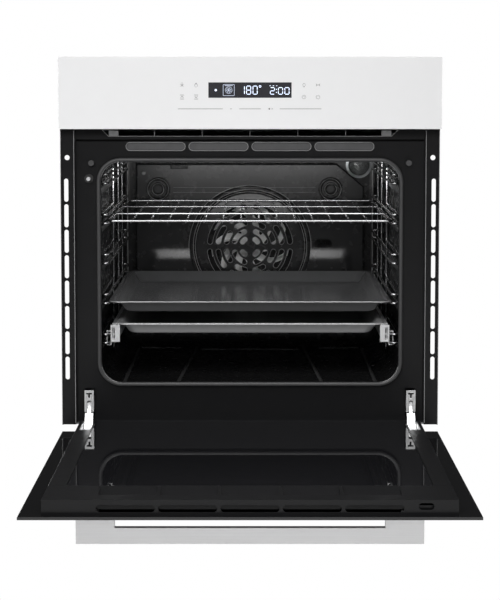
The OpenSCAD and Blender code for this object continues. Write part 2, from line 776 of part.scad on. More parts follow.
module hinge_channels() color("#c3c6c8") opened() both_sides() hinge_channel();

// Link plates and slider that stretch the spring; drawn where the open door holds them
module hinge_links() color("#b0b3b5") opened() both_sides() {
    for (x = [hinge_x - 5.4, hinge_x + 3.4]) block(x, x + 2, -15.5, -7, 30, 110);
    block(hinge_x - 5.4, hinge_x + 5.4, -15.5, -7, 100, 116);
}

spring_turns = 14;
spring_steps = 12;
spring_sides = 6;
spring_z0 = 116;
spring_z1 = channel_top - sheet;
spring_mid_r = 4.2;
spring_wire_r = 0.9;
function spring_point(i, k) = let (
    a = 360 * i / spring_steps,
    b = 360 * k / spring_sides,
    r = spring_mid_r + spring_wire_r * cos(b),
    rise = (spring_z1 - spring_z0 - 2 * spring_wire_r) / (spring_turns * spring_steps)
) [r * cos(a), r * sin(a), spring_z0 + spring_wire_r + i * rise + spring_wire_r * sin(b)];

module hinge_spring() {
    rings = spring_turns * spring_steps;
    last = rings * spring_sides;
    translate([hinge_x, -11.2, 0]) polyhedron(
        points = [for (i = [0 : rings], k = [0 : spring_sides - 1]) spring_point(i, k)],
        faces = concat(
            [[for (k = [0 : spring_sides - 1]) k]],
            [[for (k = [spring_sides - 1 : -1 : 0]) last + k]],
            [for (i = [0 : rings - 1], k = [0 : spring_sides - 1]) let (
                a = i * spring_sides + k,
                b = i * spring_sides + (k + 1) % spring_sides
            ) [a, a + spring_sides, b + spring_sides, b]]
        )
    );
}

module hinge_springs() color("#8d9092") opened() both_sides() hinge_spring();

handle_z1 = door_top - 18.5;
handle_z0 = handle_z1 - 9;
handle_x = handle_w / 2;
leg_w = 50;
finger_gap = 15.5;
screw_x = handle_x - leg_w / 2;
screw_r = 2.5;

handle_mid_z = (handle_z0 + handle_z1) / 2;

module door_front_glass() color("#0b0b0c") opened() difference() {
    block(-front_w / 2, front_w / 2, front_y, glass_back_y, door_low, door_top);
    both_sides() rod_y(front_y - 1, glass_back_y + 1, screw_x, handle_mid_z, screw_r + 0.1);
}

frame_x = door_frame_w / 2;
glass_x = 243.2;

module door_inner_glasses() color("#17191a") opened() {
    block(-glass_x, glass_x, -3.1, 0.9, -2, vent_low - 0.3);
    block(-240, 240, -11, -8, 4, vent_low - 3);
}

// Side columns, lower rail and the blocks that hold the inner panes
module door_frame() color("#1b1c1d") opened() {
    both_sides() {
        difference() {
            block(glass_x + 0.3, frame_x, glass_back_y, door_in_y, pivot_z, vent_low);
            block(
                glass_x + 0.3 + sheet, frame_x - sheet,
                glass_back_y - 1, door_in_y - sheet, pivot_z - 1, vent_low + 1
            );
            block(hinge_x - 8.3, hinge_x + 8.3, -2, 2, pivot_z - 1, 60);
        }
        for (z = [18, vent_low - 40]) {
            block(222, 240, glass_back_y, -11, z, z + 20);
            block(222, 240, -8, -3.1, z, z + 20);
        }
    }
    block(-glass_x, glass_x, glass_back_y, -3.4, -4, 3.5);
}

vent_wall = 1.5;
scoop_count = 5;
scoop_pitch = 80;
scoop_w = 78;
scoop_h = 45;
scoop_depth = 9;
scoop_z = vent_low + 1;

function scoop_x(i) = (i - (scoop_count - 1) / 2) * scoop_pitch;

// Sloping floor of one scoop, and its two cheeks
module scoop_floor() {
    deep_y = door_in_y - scoop_depth;
    end_z = scoop_z + scoop_h;
    prism_x(-scoop_w / 2, scoop_w / 2) polygon([
        [door_in_y, scoop_z], [deep_y, end_z],
        [deep_y - sheet, end_z], [door_in_y - sheet, scoop_z - 0.5]
    ]);
    both_sides() prism_x(scoop_w / 2 - 0.6, scoop_w / 2 + 0.6) polygon([
        [door_in_y, scoop_z], [door_in_y, end_z + 2], [deep_y - sheet, end_z + 2],
        [deep_y - sheet, end_z], [door_in_y - sheet, scoop_z]
    ]);
}

module door_top_vent() color("#2a2b2c") opened() {
    difference() {
        block(-frame_x, frame_x, glass_back_y, door_in_y, vent_low, vent_top);
        block(
            vent_wall - frame_x, frame_x - vent_wall,
            glass_back_y - 1, door_in_y - vent_wall, vent_low + vent_wall, vent_top - vent_wall
        );
        for (i = [0 : scoop_count - 1]) translate([scoop_x(i), 0, 0]) {
            translate([0, -10.4, vent_top - 5]) linear_extrude(8) stadium(75.6, 9.6);
            prism_y(-3, 3) polygon([
                [-scoop_w / 2 + 0.6, scoop_z], [scoop_w / 2 - 0.6, scoop_z],
                [scoop_w / 2 - 2, scoop_z + scoop_h], [-scoop_w / 2 + 2, scoop_z + scoop_h]
            ]);
        }
        // small seat at the right end
        translate([226.5, -7.5, vent_top - 5]) linear_extrude(8) stadium(20, 9);
    }
    for (i = [0 : scoop_count - 1]) translate([scoop_x(i), 0, 0]) scoop_floor();
}

module handle() color("#c6c8ca") opened() {
    difference() {
        block(-handle_x, handle_x, front_y - handle_out, front_y, handle_z0, handle_z1);
        block(
            -handle_x + leg_w, handle_x - leg_w,
            front_y - finger_gap, front_y + 1, handle_z0 - 1, handle_z1 + 1
        );
        both_sides() rod_y(front_y - 10, front_y + 1, screw_x, handle_mid_z, screw_r);
    }
    // screws that come through the glass from inside the door
    both_sides() {
        rod_y(front_y - 10, glass_back_y, screw_x, handle_mid_z, screw_r);
        rod_y(glass_back_y, glass_back_y + 3, screw_x, handle_mid_z, 5);
    }
}

at_origin() front_frame();
at_origin() cavity_liner();
at_origin() door_gasket();
at_origin() back_baffle();
at_origin() baffle_screws();
at_origin() wall_bosses();
at_origin() ring_heater();
at_origin() grill_heater();
at_origin() base_heater();
at_origin() lamp_housing();
at_origin() lamp_bulb();
at_origin() lamp_glass();
at_origin() temperature_probe();
at_origin() side_rack_left();
at_origin() side_rack_right();
at_origin() rack_studs();
at_origin() runner_rails();
at_origin() runner_middles();
at_origin() runner_sliders();
at_origin() wire_shelf();
at_origin() upper_tray();
at_origin() lower_tray();
at_origin() insulation();
at_origin() casing_sides();
at_origin() casing_top();
at_origin() casing_base();
at_origin() casing_back();
at_origin() casing_screws();
at_origin() motor_bracket();
at_origin() fan_motor();
at_origin() fan_shaft();
at_origin() convection_fan();
at_origin() fan_nut();
at_origin() air_duct();
at_origin() air_outlet_trim();
at_origin() blower_housing();
at_origin() blower_motor();
at_origin() blower_rotor();
at_origin() panel_glass();
at_origin() panel_carrier();
at_origin() display_window();
at_origin() display_module();
at_origin() touch_board();
at_origin() power_board();
at_origin() terminal_block();
at_origin() door_bumpers();
at_origin() switch_body();
at_origin() switch_plunger();
at_origin() hinge_receivers();
at_origin() hinge_arms();
at_origin() lock_clip_left();
at_origin() lock_clip_right();
at_origin() hinge_channels();
at_origin() hinge_links();
at_origin() hinge_springs();
at_origin() door_front_glass();
at_origin() door_inner_glasses();
at_origin() door_frame();
at_origin() door_top_vent();
at_origin() handle();
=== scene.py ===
import json
import math

import bmesh
import bpy
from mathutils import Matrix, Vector


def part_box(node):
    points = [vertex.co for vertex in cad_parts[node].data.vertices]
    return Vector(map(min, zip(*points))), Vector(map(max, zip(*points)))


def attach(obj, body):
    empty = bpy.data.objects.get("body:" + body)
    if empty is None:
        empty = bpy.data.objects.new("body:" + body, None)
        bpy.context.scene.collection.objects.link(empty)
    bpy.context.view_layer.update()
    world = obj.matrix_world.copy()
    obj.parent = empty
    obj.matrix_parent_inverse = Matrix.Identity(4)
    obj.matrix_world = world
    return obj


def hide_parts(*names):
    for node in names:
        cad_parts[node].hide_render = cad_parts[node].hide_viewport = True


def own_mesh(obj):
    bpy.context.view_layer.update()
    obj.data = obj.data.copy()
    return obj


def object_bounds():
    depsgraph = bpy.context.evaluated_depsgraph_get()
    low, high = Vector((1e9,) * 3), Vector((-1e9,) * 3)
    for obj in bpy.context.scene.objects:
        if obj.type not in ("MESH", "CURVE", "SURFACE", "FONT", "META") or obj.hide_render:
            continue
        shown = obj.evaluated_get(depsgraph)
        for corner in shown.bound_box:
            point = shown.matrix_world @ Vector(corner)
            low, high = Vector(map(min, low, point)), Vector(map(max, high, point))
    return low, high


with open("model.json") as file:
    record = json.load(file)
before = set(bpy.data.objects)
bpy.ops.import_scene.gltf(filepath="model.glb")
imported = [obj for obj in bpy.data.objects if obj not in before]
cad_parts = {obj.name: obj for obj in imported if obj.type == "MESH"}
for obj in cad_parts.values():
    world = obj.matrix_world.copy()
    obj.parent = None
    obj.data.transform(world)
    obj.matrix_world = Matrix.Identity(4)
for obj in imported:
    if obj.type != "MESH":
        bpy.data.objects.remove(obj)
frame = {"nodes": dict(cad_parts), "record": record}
cad_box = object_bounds()

MM = 0.001

# Where the cabinet's front face is, in the row frame: the side flanges are 1.2 mm thick
FLANGE_T = 1.2 * MM
FACE_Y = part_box("front_frame")[0].y + FLANGE_T


# ---------- camera, floor and light ----------
CAMERA_AHEAD = 2.4032       # metres ahead of the cabinet's face
CAMERA_HEIGHT = 0.5464
CAMERA_LENS = 92.09         # mm, on a 36 mm sensor
CAMERA_SHIFT = -0.2         # part of the downward framing; the tilt is the rest
CAMERA_TILT = 3.76          # degrees below the horizon
SENSOR = 36.0


def make_camera():
    camera = bpy.data.cameras.new("camera")
    camera.lens = CAMERA_LENS
    camera.sensor_width = SENSOR
    camera.shift_y = CAMERA_SHIFT
    holder = bpy.data.objects.new("camera", camera)
    holder.location = (0, FACE_Y - CAMERA_AHEAD, CAMERA_HEIGHT)
    holder.rotation_euler = (math.radians(90 - CAMERA_TILT), 0, 0)
    bpy.context.scene.collection.objects.link(holder)
    bpy.context.scene.camera = holder


def make_light(name, place, target, size, power, mirrored=True):
    light = bpy.data.lights.new(name, "AREA")
    light.shape = "RECTANGLE"
    light.size, light.size_y = size
    light.energy = power
    holder = bpy.data.objects.new(name, light)
    holder.location = place
    holder.rotation_euler = (Vector(target) - Vector(place)).to_track_quat("-Z", "Y").to_euler()
    holder.visible_camera = False
    holder.visible_glossy = mirrored
    bpy.context.scene.collection.objects.link(holder)


def make_world(seen, ambient):
    """A white surround for the camera, and a dim one for light and reflections."""
    world = bpy.data.worlds.new("studio")
    world.use_nodes = True
    nodes, links = world.node_tree.nodes, world.node_tree.links
    background = nodes["Background"]
    background.inputs["Color"].default_value = (1, 1, 1, 1)
    ray = nodes.new("ShaderNodeLightPath")
    strength = nodes.new("ShaderNodeMapRange")
    strength.inputs["To Min"].default_value = ambient
    strength.inputs["To Max"].default_value = seen
    links.new(ray.outputs["Is Camera Ray"], strength.inputs["Value"])
    links.new(strength.outputs["Result"], background.inputs["Strength"])
    bpy.context.scene.world = world


def make_floor(z):
    mesh = bpy.data.meshes.new("floor")
    half = 14
    mesh.from_pydata([(-half, -half, z), (half, -half, z), (half, half, z), (-half, half, z)], [],
                     [(0, 1, 2, 3)])
    floor = bpy.data.objects.new("floor", mesh)
    bpy.context.scene.collection.objects.link(floor)
    paint = surface("floor_paint", (0.75, 0.75, 0.75), 0.8, mottle=0.01, mottle_size=3)
    nodes, links = paint.node_tree.nodes, paint.node_tree.links
    seen = nodes.new("ShaderNodeEmission")
    ray = nodes.new("ShaderNodeLightPath")
    mix = nodes.new("ShaderNodeMixShader")
    links.new(ray.outputs["Is Camera Ray"], mix.inputs["Fac"])
    links.new(nodes["Principled BSDF"].outputs["BSDF"], mix.inputs[1])
    links.new(seen.outputs["Emission"], mix.inputs[2])
    links.new(mix.outputs["Shader"], nodes["Material Output"].inputs["Surface"])
    floor.data.materials.append(paint)


# ---------- materials ----------
def surface(name, color, roughness, metallic=0.0, mottle=0.08, mottle_size=60, grain=0.0, grain_size=900,
            stretch=(1, 1, 1), rough_spread=0.08, coat=0.0, specular=0.5, transmission=0.0, ior=1.45):
    """A surface with slight changes of colour and gloss, and a fine grain in its relief."""
    material = bpy.data.materials.new(name)
    material.use_nodes = True
    nodes, links = material.node_tree.nodes, material.node_tree.links
    shader = nodes["Principled BSDF"]
    shader.inputs["Metallic"].default_value = metallic
    shader.inputs["Coat Weight"].default_value = coat
    shader.inputs["Coat Roughness"].default_value = 0.04
    shader.inputs["Specular IOR Level"].default_value = specular
    shader.inputs["Transmission Weight"].default_value = transmission
    shader.inputs["IOR"].default_value = ior

    place = nodes.new("ShaderNodeTexCoord")
    scale = nodes.new("ShaderNodeMapping")
    scale.inputs["Scale"].default_value = stretch
    links.new(place.outputs["Object"], scale.inputs["Vector"])

    clouds = nodes.new("ShaderNodeTexNoise")
    clouds.inputs["Scale"].default_value = mottle_size
    clouds.inputs["Detail"].default_value = 4
    links.new(scale.outputs["Vector"], clouds.inputs["Vector"])

    tint = nodes.new("ShaderNodeMix")
    tint.data_type = "RGBA"
    dark = [c * (1 - mottle) for c in color]
    light = [min(1, c * (1 + mottle)) for c in color]
    tint.inputs["A"].default_value = (*dark, 1)
    tint.inputs["B"].default_value = (*light, 1)
    links.new(clouds.outputs["Fac"], tint.inputs["Factor"])
    links.new(tint.outputs["Result"], shader.inputs["Base Color"])

    gloss = nodes.new("ShaderNodeMapRange")
    gloss.inputs["To Min"].default_value = max(0.01, roughness * (1 - rough_spread))
    gloss.inputs["To Max"].default_value = min(1, roughness * (1 + rough_spread))
    links.new(clouds.outputs["Fac"], gloss.inputs["Value"])
    links.new(gloss.outputs["Result"], shader.inputs["Roughness"])

    if grain:
        fine = nodes.new("ShaderNodeTexNoise")
        fine.inputs["Scale"].default_value = grain_size
        links.new(scale.outputs["Vector"], fine.inputs["Vector"])
        relief = nodes.new("ShaderNodeBump")
        relief.inputs["Strength"].default_value = grain
        relief.inputs["Distance"].default_value = 0.2 * MM
        links.new(fine.outputs["Fac"], relief.inputs["Height"])
        links.new(relief.outputs["Normal"], shader.inputs["Normal"])
    return material


def glow(name, color, strength):
    """A lit figure, a little brighter in its middle tones."""
    material = surface(name, color, 0.5)
    shader = material.node_tree.nodes["Principled BSDF"]
    shader.inputs["Emission Color"].default_value = (*color, 1)
    shader.inputs["Emission Strength"].default_value = strength
    return material


MATERIALS = {
    "lit_figures": glow("lit_figures", (0.62, 0.68, 0.85), 0.9),
    # painted shade: a dark copy of the galvanised sheet for the air duct, which lies in shade behind the
    # steam slots
    "duct_painted_shade": surface("duct_painted_shade", (0.082, 0.082, 0.084), 0.45, 0.5, mottle=0.15, mottle_size=90),
    "glass_edge": surface("glass_edge", (0.1, 0.105, 0.105), 0.3),
    # painted shadow: a near-black strip that stands for the shadow gap under the outlet trim
    "shadow_strip_black": surface("shadow_strip_black", (0.003, 0.003, 0.003), 0.9, specular=0.1, grain=0.5),
    # painted highlight: a lighter grey than the enamel, for thin lips, folds and rims that catch the light
    "lip_painted_highlight": surface("lip_painted_highlight", (0.27, 0.27, 0.272), 0.3),
    # painted highlight, dimmer: a lighter grey than the cavity enamel, for the pressed beads of the cavity
    "bead_painted_highlight": surface("bead_painted_highlight", (0.06, 0.06, 0.061), 0.3),
    # painted highlight: a brighter, glossier copy of the tray enamel, for the trays' rolled rims
    "rim_painted_highlight": surface("rim_painted_highlight", (0.5, 0.5, 0.505), 0.25, 0.5),
    "dim_figures": glow("dim_figures", (0.5, 0.55, 0.68), 0.25),
    "print_grey": surface("print_grey", (0.14, 0.14, 0.14), 0.4),
    "black_enamel": surface("black_enamel", (0.0075, 0.0075, 0.008), 0.3, grain=0.1, grain_size=700,
                            specular=0.28),
    "cavity_enamel": surface("cavity_enamel", (0.014, 0.014, 0.0145), 0.27, grain=0.08, grain_size=500),
    "tray_enamel_dark": surface("tray_enamel_dark", (0.09, 0.091, 0.093), 0.17, grain=0.05),
    "tray_enamel_grey": surface("tray_enamel_grey", (0.38, 0.38, 0.385), 0.22, grain=0.05),
    "galvanised_sheet": surface("galvanised_sheet", (0.55, 0.57, 0.58), 0.42, 0.85, mottle=0.2,
                                mottle_size=90),
    "zinc_plate": surface("zinc_plate", (0.86, 0.865, 0.87), 0.38, 0.75, mottle=0.05, mottle_size=150),
    "chrome_wire": surface("chrome_wire", (0.5, 0.5, 0.51), 0.19, 1.0),
    "stainless": surface("stainless", (0.66, 0.66, 0.665), 0.33, 1.0, mottle=0.07, mottle_size=900,
                         stretch=(0.01, 1, 1),
                         grain=0.2, grain_size=2500),
    "screw_steel": surface("screw_steel", (0.3, 0.3, 0.3), 0.5, 1.0),
    "spring_steel": surface("spring_steel", (0.3, 0.31, 0.32), 0.35, 1.0),
    "motor_steel": surface("motor_steel", (0.4, 0.41, 0.42), 0.45, 0.8),
    "heater_sheath": surface("heater_sheath", (0.07, 0.065, 0.06), 0.5, 0.6, mottle=0.3),
    "fan_aluminium": surface("fan_aluminium", (0.9, 0.9, 0.9), 0.45, 0.05),
    "white_glass": surface("white_glass", (0.76, 0.76, 0.765), 0.08, mottle=0.01),
    "display_glass": surface("display_glass", (0.035, 0.035, 0.04), 0.08),
    "black_glass": surface("black_glass", (0.004, 0.004, 0.0045), 0.04),
    "inner_glass": surface("inner_glass", (0.008, 0.008, 0.009), 0.02, specular=0.8),
    "lamp_glass": surface("lamp_glass", (0.32, 0.33, 0.33), 0.1, transmission=0.7),
    "seal_rubber": surface("seal_rubber", (0.045, 0.045, 0.046), 0.42),
    "grey_plastic": surface("grey_plastic", (0.45, 0.45, 0.46), 0.45, grain=0.2),
    "black_plastic": surface("black_plastic", (0.02, 0.02, 0.02), 0.4, grain=0.2),
    "board_green": surface("board_green", (0.03, 0.17, 0.07), 0.35),
    "mineral_wool": surface("mineral_wool", (0.5, 0.47, 0.4), 0.95, mottle=0.3, mottle_size=120,
                            grain=0.9, grain_size=400),
}


# nodes painted darker than their slot: the air duct's sheet is darkened as painted shade, for the dim inside
# seen through the steam slots
NODE_PAINTED_SHADE = {"air_duct": "duct_painted_shade"}


def paint_nodes():
    for part in frame["record"]["subparts"]:
        data = frame["nodes"][part["node"]].data
        data.materials.clear()
        data.materials.append(MATERIALS[NODE_PAINTED_SHADE.get(part["node"], part["material_slot"])])


# ---------- places ----------
def cab(x, y, z):
    """A point given in millimetres from the middle of the cabinet's front face, at the height of the base."""
    return Vector((x * MM, FACE_Y + y * MM, z * MM))


PIVOT_Y, PIVOT_Z = -11.3, -4.2


def shut(x, y, z):
    """A point of the door given as it is with the door shut, moved to where the open door holds it."""
    return cab(x, PIVOT_Y - (z - PIVOT_Z), PIVOT_Z + (y - PIVOT_Y))


def span(node):
    """A node's box in millimetres from the cabinet's face: lowest x, y, z and highest x, y, z."""
    low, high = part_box(node)
    return [(p.x / MM, (p.y - FACE_Y) / MM, p.z / MM) for p in (low, high)]


# ---------- building blocks ----------
def add(name, data, body, slot, material=None, replaces=()):
    piece = bpy.data.objects.new(name, data)
    bpy.context.scene.collection.objects.link(piece)
    piece.data.materials.clear()
    piece.data.materials.append(material or MATERIALS[slot])
    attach(piece, body)
    if replaces:
        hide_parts(*replaces)
    return piece


def mesh_from(name, points, faces, sharp=35):
    mesh = bpy.data.meshes.new(name)
    mesh.from_pydata([tuple(p) for p in points], [], faces)
    bm = bmesh.new()
    bm.from_mesh(mesh)
    bmesh.ops.remove_doubles(bm, verts=bm.verts, dist=1e-6)
    bmesh.ops.recalc_face_normals(bm, faces=bm.faces)
    bm.to_mesh(mesh)
    bm.free()
    smooth(mesh, sharp)
    return mesh


def smooth(mesh, sharp=35):
    mesh.polygons.foreach_set("use_smooth", [True] * len(mesh.polygons))
    mesh.set_sharp_from_angle(angle=math.radians(sharp))


def settle(piece, sharp=35):
    """Turns a piece and its modifiers into a plain mesh."""
    depsgraph = bpy.context.evaluated_depsgraph_get()
    made = bpy.data.meshes.new_from_object(piece.evaluated_get(depsgraph))
    materials = list(piece.data.materials)
    piece.modifiers.clear()
    piece.data = made
    made.materials.clear()
    for material in materials:
        made.materials.append(material)
    smooth(made, sharp)


def carve(piece, cutter_mesh, sharp=35):
    cutter = bpy.data.objects.new("cutter", cutter_mesh)
    bpy.context.scene.collection.objects.link(cutter)
    cut = piece.modifiers.new("cut", "BOOLEAN")
    cut.object = cutter
    cut.operation = "DIFFERENCE"
    cut.solver = "EXACT"
    settle(piece, sharp)
    bpy.data.objects.remove(cutter)


def thicken(piece, thickness, offset=-1.0):
    wall = piece.modifiers.new("wall", "SOLIDIFY")
    wall.thickness = thickness * MM
    wall.offset = offset
    wall.use_even_offset = True
    settle(piece)


def loft(rings, closed=True, cap_first=False, cap_last=False):
    """Points and faces of a skin over rings of equally many points."""
    count = len(rings[0])
    points = [p for ring in rings for p in ring]
    faces = []
    for i in range(len(rings) - 1):
        for k in range(count if closed else count - 1):
            a, b = i * count + k, i * count + (k + 1) % count
            faces.append((a, b, b + count, a + count))
    if cap_first:
        faces.append(tuple(range(count)))
    if cap_last:
        faces.append(tuple((len(rings) - 1) * count + k for k in range(count)))
    return points, faces


def rounded_ring(half_u, half_v, radius, steps=10):
    """Points (u, v) around a rectangle with round corners."""
    ring = []
    for quarter, (su, sv) in enumerate(((1, 1), (-1, 1), (-1, -1), (1, -1))):
        for i in range(steps + 1):
            angle = math.radians(90 * quarter + 90 * i / steps)
            ring.append((su * (half_u - radius) + radius * math.cos(angle),
                         sv * (half_v - radius) + radius * math.sin(angle)))
    return ring


def prism(outline, low, high, place):
    """A prism over an outline (u, v); place(u, v, w) gives each point, for w from low to high."""
    rings = [[place(u, v, w) for u, v in outline] for w in (low, high)]
    return loft(rings, cap_first=True, cap_last=True)


def joined(name, shapes, sharp=35):
    """One mesh from several (points, faces)."""
    points, faces = [], []
    for more, loops in shapes:
        start = len(points)
        points += more
        faces += [tuple(start + k for k in loop) for loop in loops]
    return mesh_from(name, points, faces, sharp)


def rounded_path(corners, reach, steps=6, closed=False):
    """A wire's points: straight between the corners, and bent smoothly around each."""
    path, count = [], len(corners)
    for i, corner in enumerate(corners):
        if not closed and i in (0, count - 1):
            path.append(corner)
            continue
        before, after = corners[i - 1], corners[(i + 1) % count]
        cut = min(reach, (before - corner).length / 2, (after - corner).length / 2)
        start = corner + (before - corner).normalized() * cut
        end = corner + (after - corner).normalized() * cut
        for k in range(steps + 1):
            t = k / steps
            path.append(start * (1 - t) ** 2 + corner * 2 * t * (1 - t) + end * t ** 2)
    return path


def wires(name, paths, body, slot, replaces=(), material=None):
    """Round wires, each given as (points, radius in millimetres, closed)."""
    curve = bpy.data.curves.new(name, "CURVE")
    curve.dimensions = "3D"
    curve.bevel_depth = MM
    curve.bevel_resolution = 3
    curve.use_fill_caps = True
    for points, radius, closed in paths:
        spline = curve.splines.new("POLY")
        spline.points.add(len(points) - 1)
        for place, point in zip(points, spline.points):
            point.co = (*place, 1)
            point.radius = radius
        spline.use_cyclic_u = closed
    return add(name, curve, body, slot, material, replaces)


def lathe(profile, place, steps=96):
    """A skin turned about an axis: the profile is (radius, height), and place(u, v, w) gives each point."""
    rings = []
    for radius, height in profile:
        turn = [2 * math.pi * k / steps for k in range(steps)]
        rings.append([place(radius * math.cos(a), radius * math.sin(a), height) for a in turn])
    return loft(rings)


def bead(start, end, half_width, rise, up, steps=8):
    """A long pressed bead between two points, with round ends, that stands out along up."""
    along = (end - start).normalized()
    side = along.cross(up).normalized()
    rings = []
    for i in range(5):
        lift = math.radians(90 * i / 4)
        reach, height = half_width * MM * math.cos(lift), rise * MM * math.sin(lift)
        ring = []
        for centre, turn in ((end, -90), (start, 90)):
            for k in range(steps + 1):
                angle = math.radians(turn + 180 * k / steps)
                spoke = along * math.cos(angle) + side * math.sin(angle)
                ring.append(centre + up * height + spoke * max(reach, 1e-5))
        rings.append(ring)
    return loft(rings, cap_first=True, cap_last=True)


def soften(node, width, segments=2, sharp=32):
    """Breaks a CAD node's sharp edges, which leaves its own vertices alone."""
    piece = frame["nodes"][node]
    mesh = piece.data
    with bpy.context.temp_override(object=piece, active_object=piece, selected_objects=[piece]):
        bpy.ops.mesh.customdata_custom_splitnormals_clear()
    mesh.polygons.foreach_set("use_smooth", [True] * len(mesh.polygons))
    weld = piece.modifiers.new("weld", "WELD")
    weld.merge_threshold = 2e-5
    edge = piece.modifiers.new("edge", "BEVEL")
    edge.width = width * MM
    edge.segments = segments
    edge.limit_method = "ANGLE"
    edge.angle_limit = math.radians(sharp)
    edge.harden_normals = True
    edge.use_clamp_overlap = True


# ---------- shelf, racks and trays ----------
SHELF_WIRE, SHELF_RAIL, SHELF_BAR = 2.5, 1.8, 1.2
SHELF_BARS = 14


def make_shelf():
    (x0, y0, z0), (x1, y1, z1) = span("wire_shelf")
    side, front, rear = x1 - SHELF_WIRE, y0 + SHELF_WIRE, y1 - SHELF_WIRE
    z = z1 - SHELF_WIRE
    corners = [cab(-side, front, z), cab(side, front, z), cab(side, rear, z), cab(-side, rear, z)]
    paths = [(rounded_path(corners, 9 * MM, closed=True), 2.1, True)]
    for share in (0.325, 0.67):
        y = front + (rear - front) * share
        paths.append(([cab(-side, y, z), cab(side, y, z)], SHELF_RAIL, False))
    pitch = 2 * side / (SHELF_BARS + 1.45)
    for i in range(SHELF_BARS):
        x = (i - (SHELF_BARS - 1) / 2) * pitch
        paths.append(([cab(x, front, z - 2.2), cab(x, rear, z - 2.2)], SHELF_BAR, False))
    wires("shelf_wires", paths, "wire_shelf", "chrome_wire", replaces=("wire_shelf",))


RACK_LEVELS = 5
LEVEL_PITCH, LEVEL_GAP = 64, 14
GUIDE_WIRE, POST_WIRE = 2.0, 2.5


def make_rack(side, node):
    (_, y0, z0), (_, y1, z1) = span(node)
    guide, post = 226 * side, 237.2 * side
    low, high = z0 + POST_WIRE, z1 - POST_WIRE
    front, rear = y1 - 193, y1 - 8
    corners = [cab(post, front, low), cab(post, front, high), cab(post, rear, high), cab(post, rear, low)]
    paths = [(rounded_path(corners, 12 * MM, closed=True), POST_WIRE, True)]
    middle = (front + rear) / 2 + 8
    paths.append(([cab(post, middle, low), cab(post, middle, high)], POST_WIRE, False))
    first = high - 23.1 - LEVEL_PITCH * (RACK_LEVELS - 1)
    for level in range(RACK_LEVELS):
        for lift in (0, LEVEL_GAP):
            z = first + level * LEVEL_PITCH + lift
            corners = [cab(post, front + 3, z), cab(post, y0 + 2, z), cab(guide, y0 + 2, z),
                       cab(guide, y1 - 2, z), cab(post, y1 - 2, z), cab(post, rear - 10, z)]
            paths.append((rounded_path(corners, 5.4 * MM, steps=8), GUIDE_WIRE, False))
    wires(node + "_wires", paths, "oven_body", "chrome_wire", replaces=(node,))


def make_tray(node, body, slot, slope=12, deep=18, apron=14.5):
    """A deep-drawn pan: rolled rim, sloping walls, round floor edge and a raised floor panel."""
    (x0, y0, _), (x1, y1, top) = span(node)
    mid_y, half_x, half_y = (y0 + y1) / 2, (x1 - x0) / 2, (y1 - y0) / 2
    pan_x, pan_y = half_x - apron, half_y - 7
    if node == "lower_tray":
        pan_x = half_x - 10
    low = top - deep - 0.2
    steps = [
        (half_x - 0.2, half_y - 0.2, 16, top - 2.4), (half_x, half_y, 16, top - 1.2),
        (half_x - 0.6, half_y - 0.6, 16, top - 0.2), (half_x - 1.8, half_y - 1.8, 15, top),
        (pan_x + 2, pan_y + 2, 16, top), (pan_x, pan_y, 15, top - 0.8),
        (pan_x - slope + 3, pan_y - slope + 3, 14, low + 3.4), (pan_x - slope, pan_y - slope, 14, low + 0.9),
        (pan_x - slope - 3, pan_y - slope - 3, 13, low), (pan_x - slope - 26, pan_y - slope - 26, 12, low),
        (pan_x - slope - 29, pan_y - slope - 29, 12, low + 0.9),
        (pan_x - slope - 60, pan_y - slope - 60, 12, low + 0.9),
    ]
    rings = [[cab(u, mid_y + v, z) for u, v in rounded_ring(hx, hy, r)] for hx, hy, r, z in steps]
    points, faces = loft(rings, cap_last=True)
    piece = add(node + "_pan", mesh_from(node, points, faces, 50), body, slot, replaces=(node,))
    thicken(piece, 0.9, offset=1.0 if piece.data.polygons[-1].normal.z < 0 else -1.0)
    # the rolled rim is drawn in a brighter copy of the tray's enamel, as a painted highlight
    loop = [cab(u, mid_y + v, top - 1.0) for u, v in rounded_ring(half_x - 0.9, half_y - 0.9, 15.2)]
    wires(node + "_rim", [(loop, 0.85, True)], body, slot, material=MATERIALS["rim_painted_highlight"])


# ---------- cavity ----------
CAVITY_X, CAVITY_LOW, CAVITY_TOP, CAVITY_R, CAVITY_BACK = 242, 50, 425, 28, 485
BACK_FILLET = 14


def make_liner():
    (_, front, _), _ = span("cavity_liner")
    mid_z, half_z = (CAVITY_LOW + CAVITY_TOP) / 2, (CAVITY_TOP - CAVITY_LOW) / 2
    profile = [(0, front + 0.2), (0, front + 8), (0, CAVITY_BACK - BACK_FILLET)]
    for i in range(1, 7):
        angle = math.radians(15 * i)
        profile.append((BACK_FILLET * (1 - math.cos(angle)),
                        CAVITY_BACK - BACK_FILLET * (1 - math.sin(angle))))
    rings = []
    for inset, y in profile:
        ring = rounded_ring(CAVITY_X - inset, half_z - inset, CAVITY_R - inset * 0.6)
        rings.append([cab(u, y, mid_z + v) for u, v in ring])
    points, faces = loft(rings, cap_last=True)
    piece = add("cavity_shell", mesh_from("cavity_shell", points, faces), "oven_body", "cavity_enamel",
                replaces=("cavity_liner",))
    inward = piece.data.polygons[-1].normal.y < 0
    thicken(piece, 1.2, offset=-1.0 if inward else 1.0)
    lamp, shaft = rounded_ring(21.1, 21.1, 21, 12), rounded_ring(6, 6, 5.9, 6)
    holes = [
        prism([(205 + u, 385 + v) for u, v in lamp], CAVITY_BACK - 5, CAVITY_BACK + 5, lambda u, v,
              w: cab(u, w, v)),
        prism([(u, 235 + v) for u, v in shaft], CAVITY_BACK - 5, CAVITY_BACK + 5, lambda u, v,
              w: cab(u, w, v)),
    ]
    carve(piece, joined("liner_holes", holes))


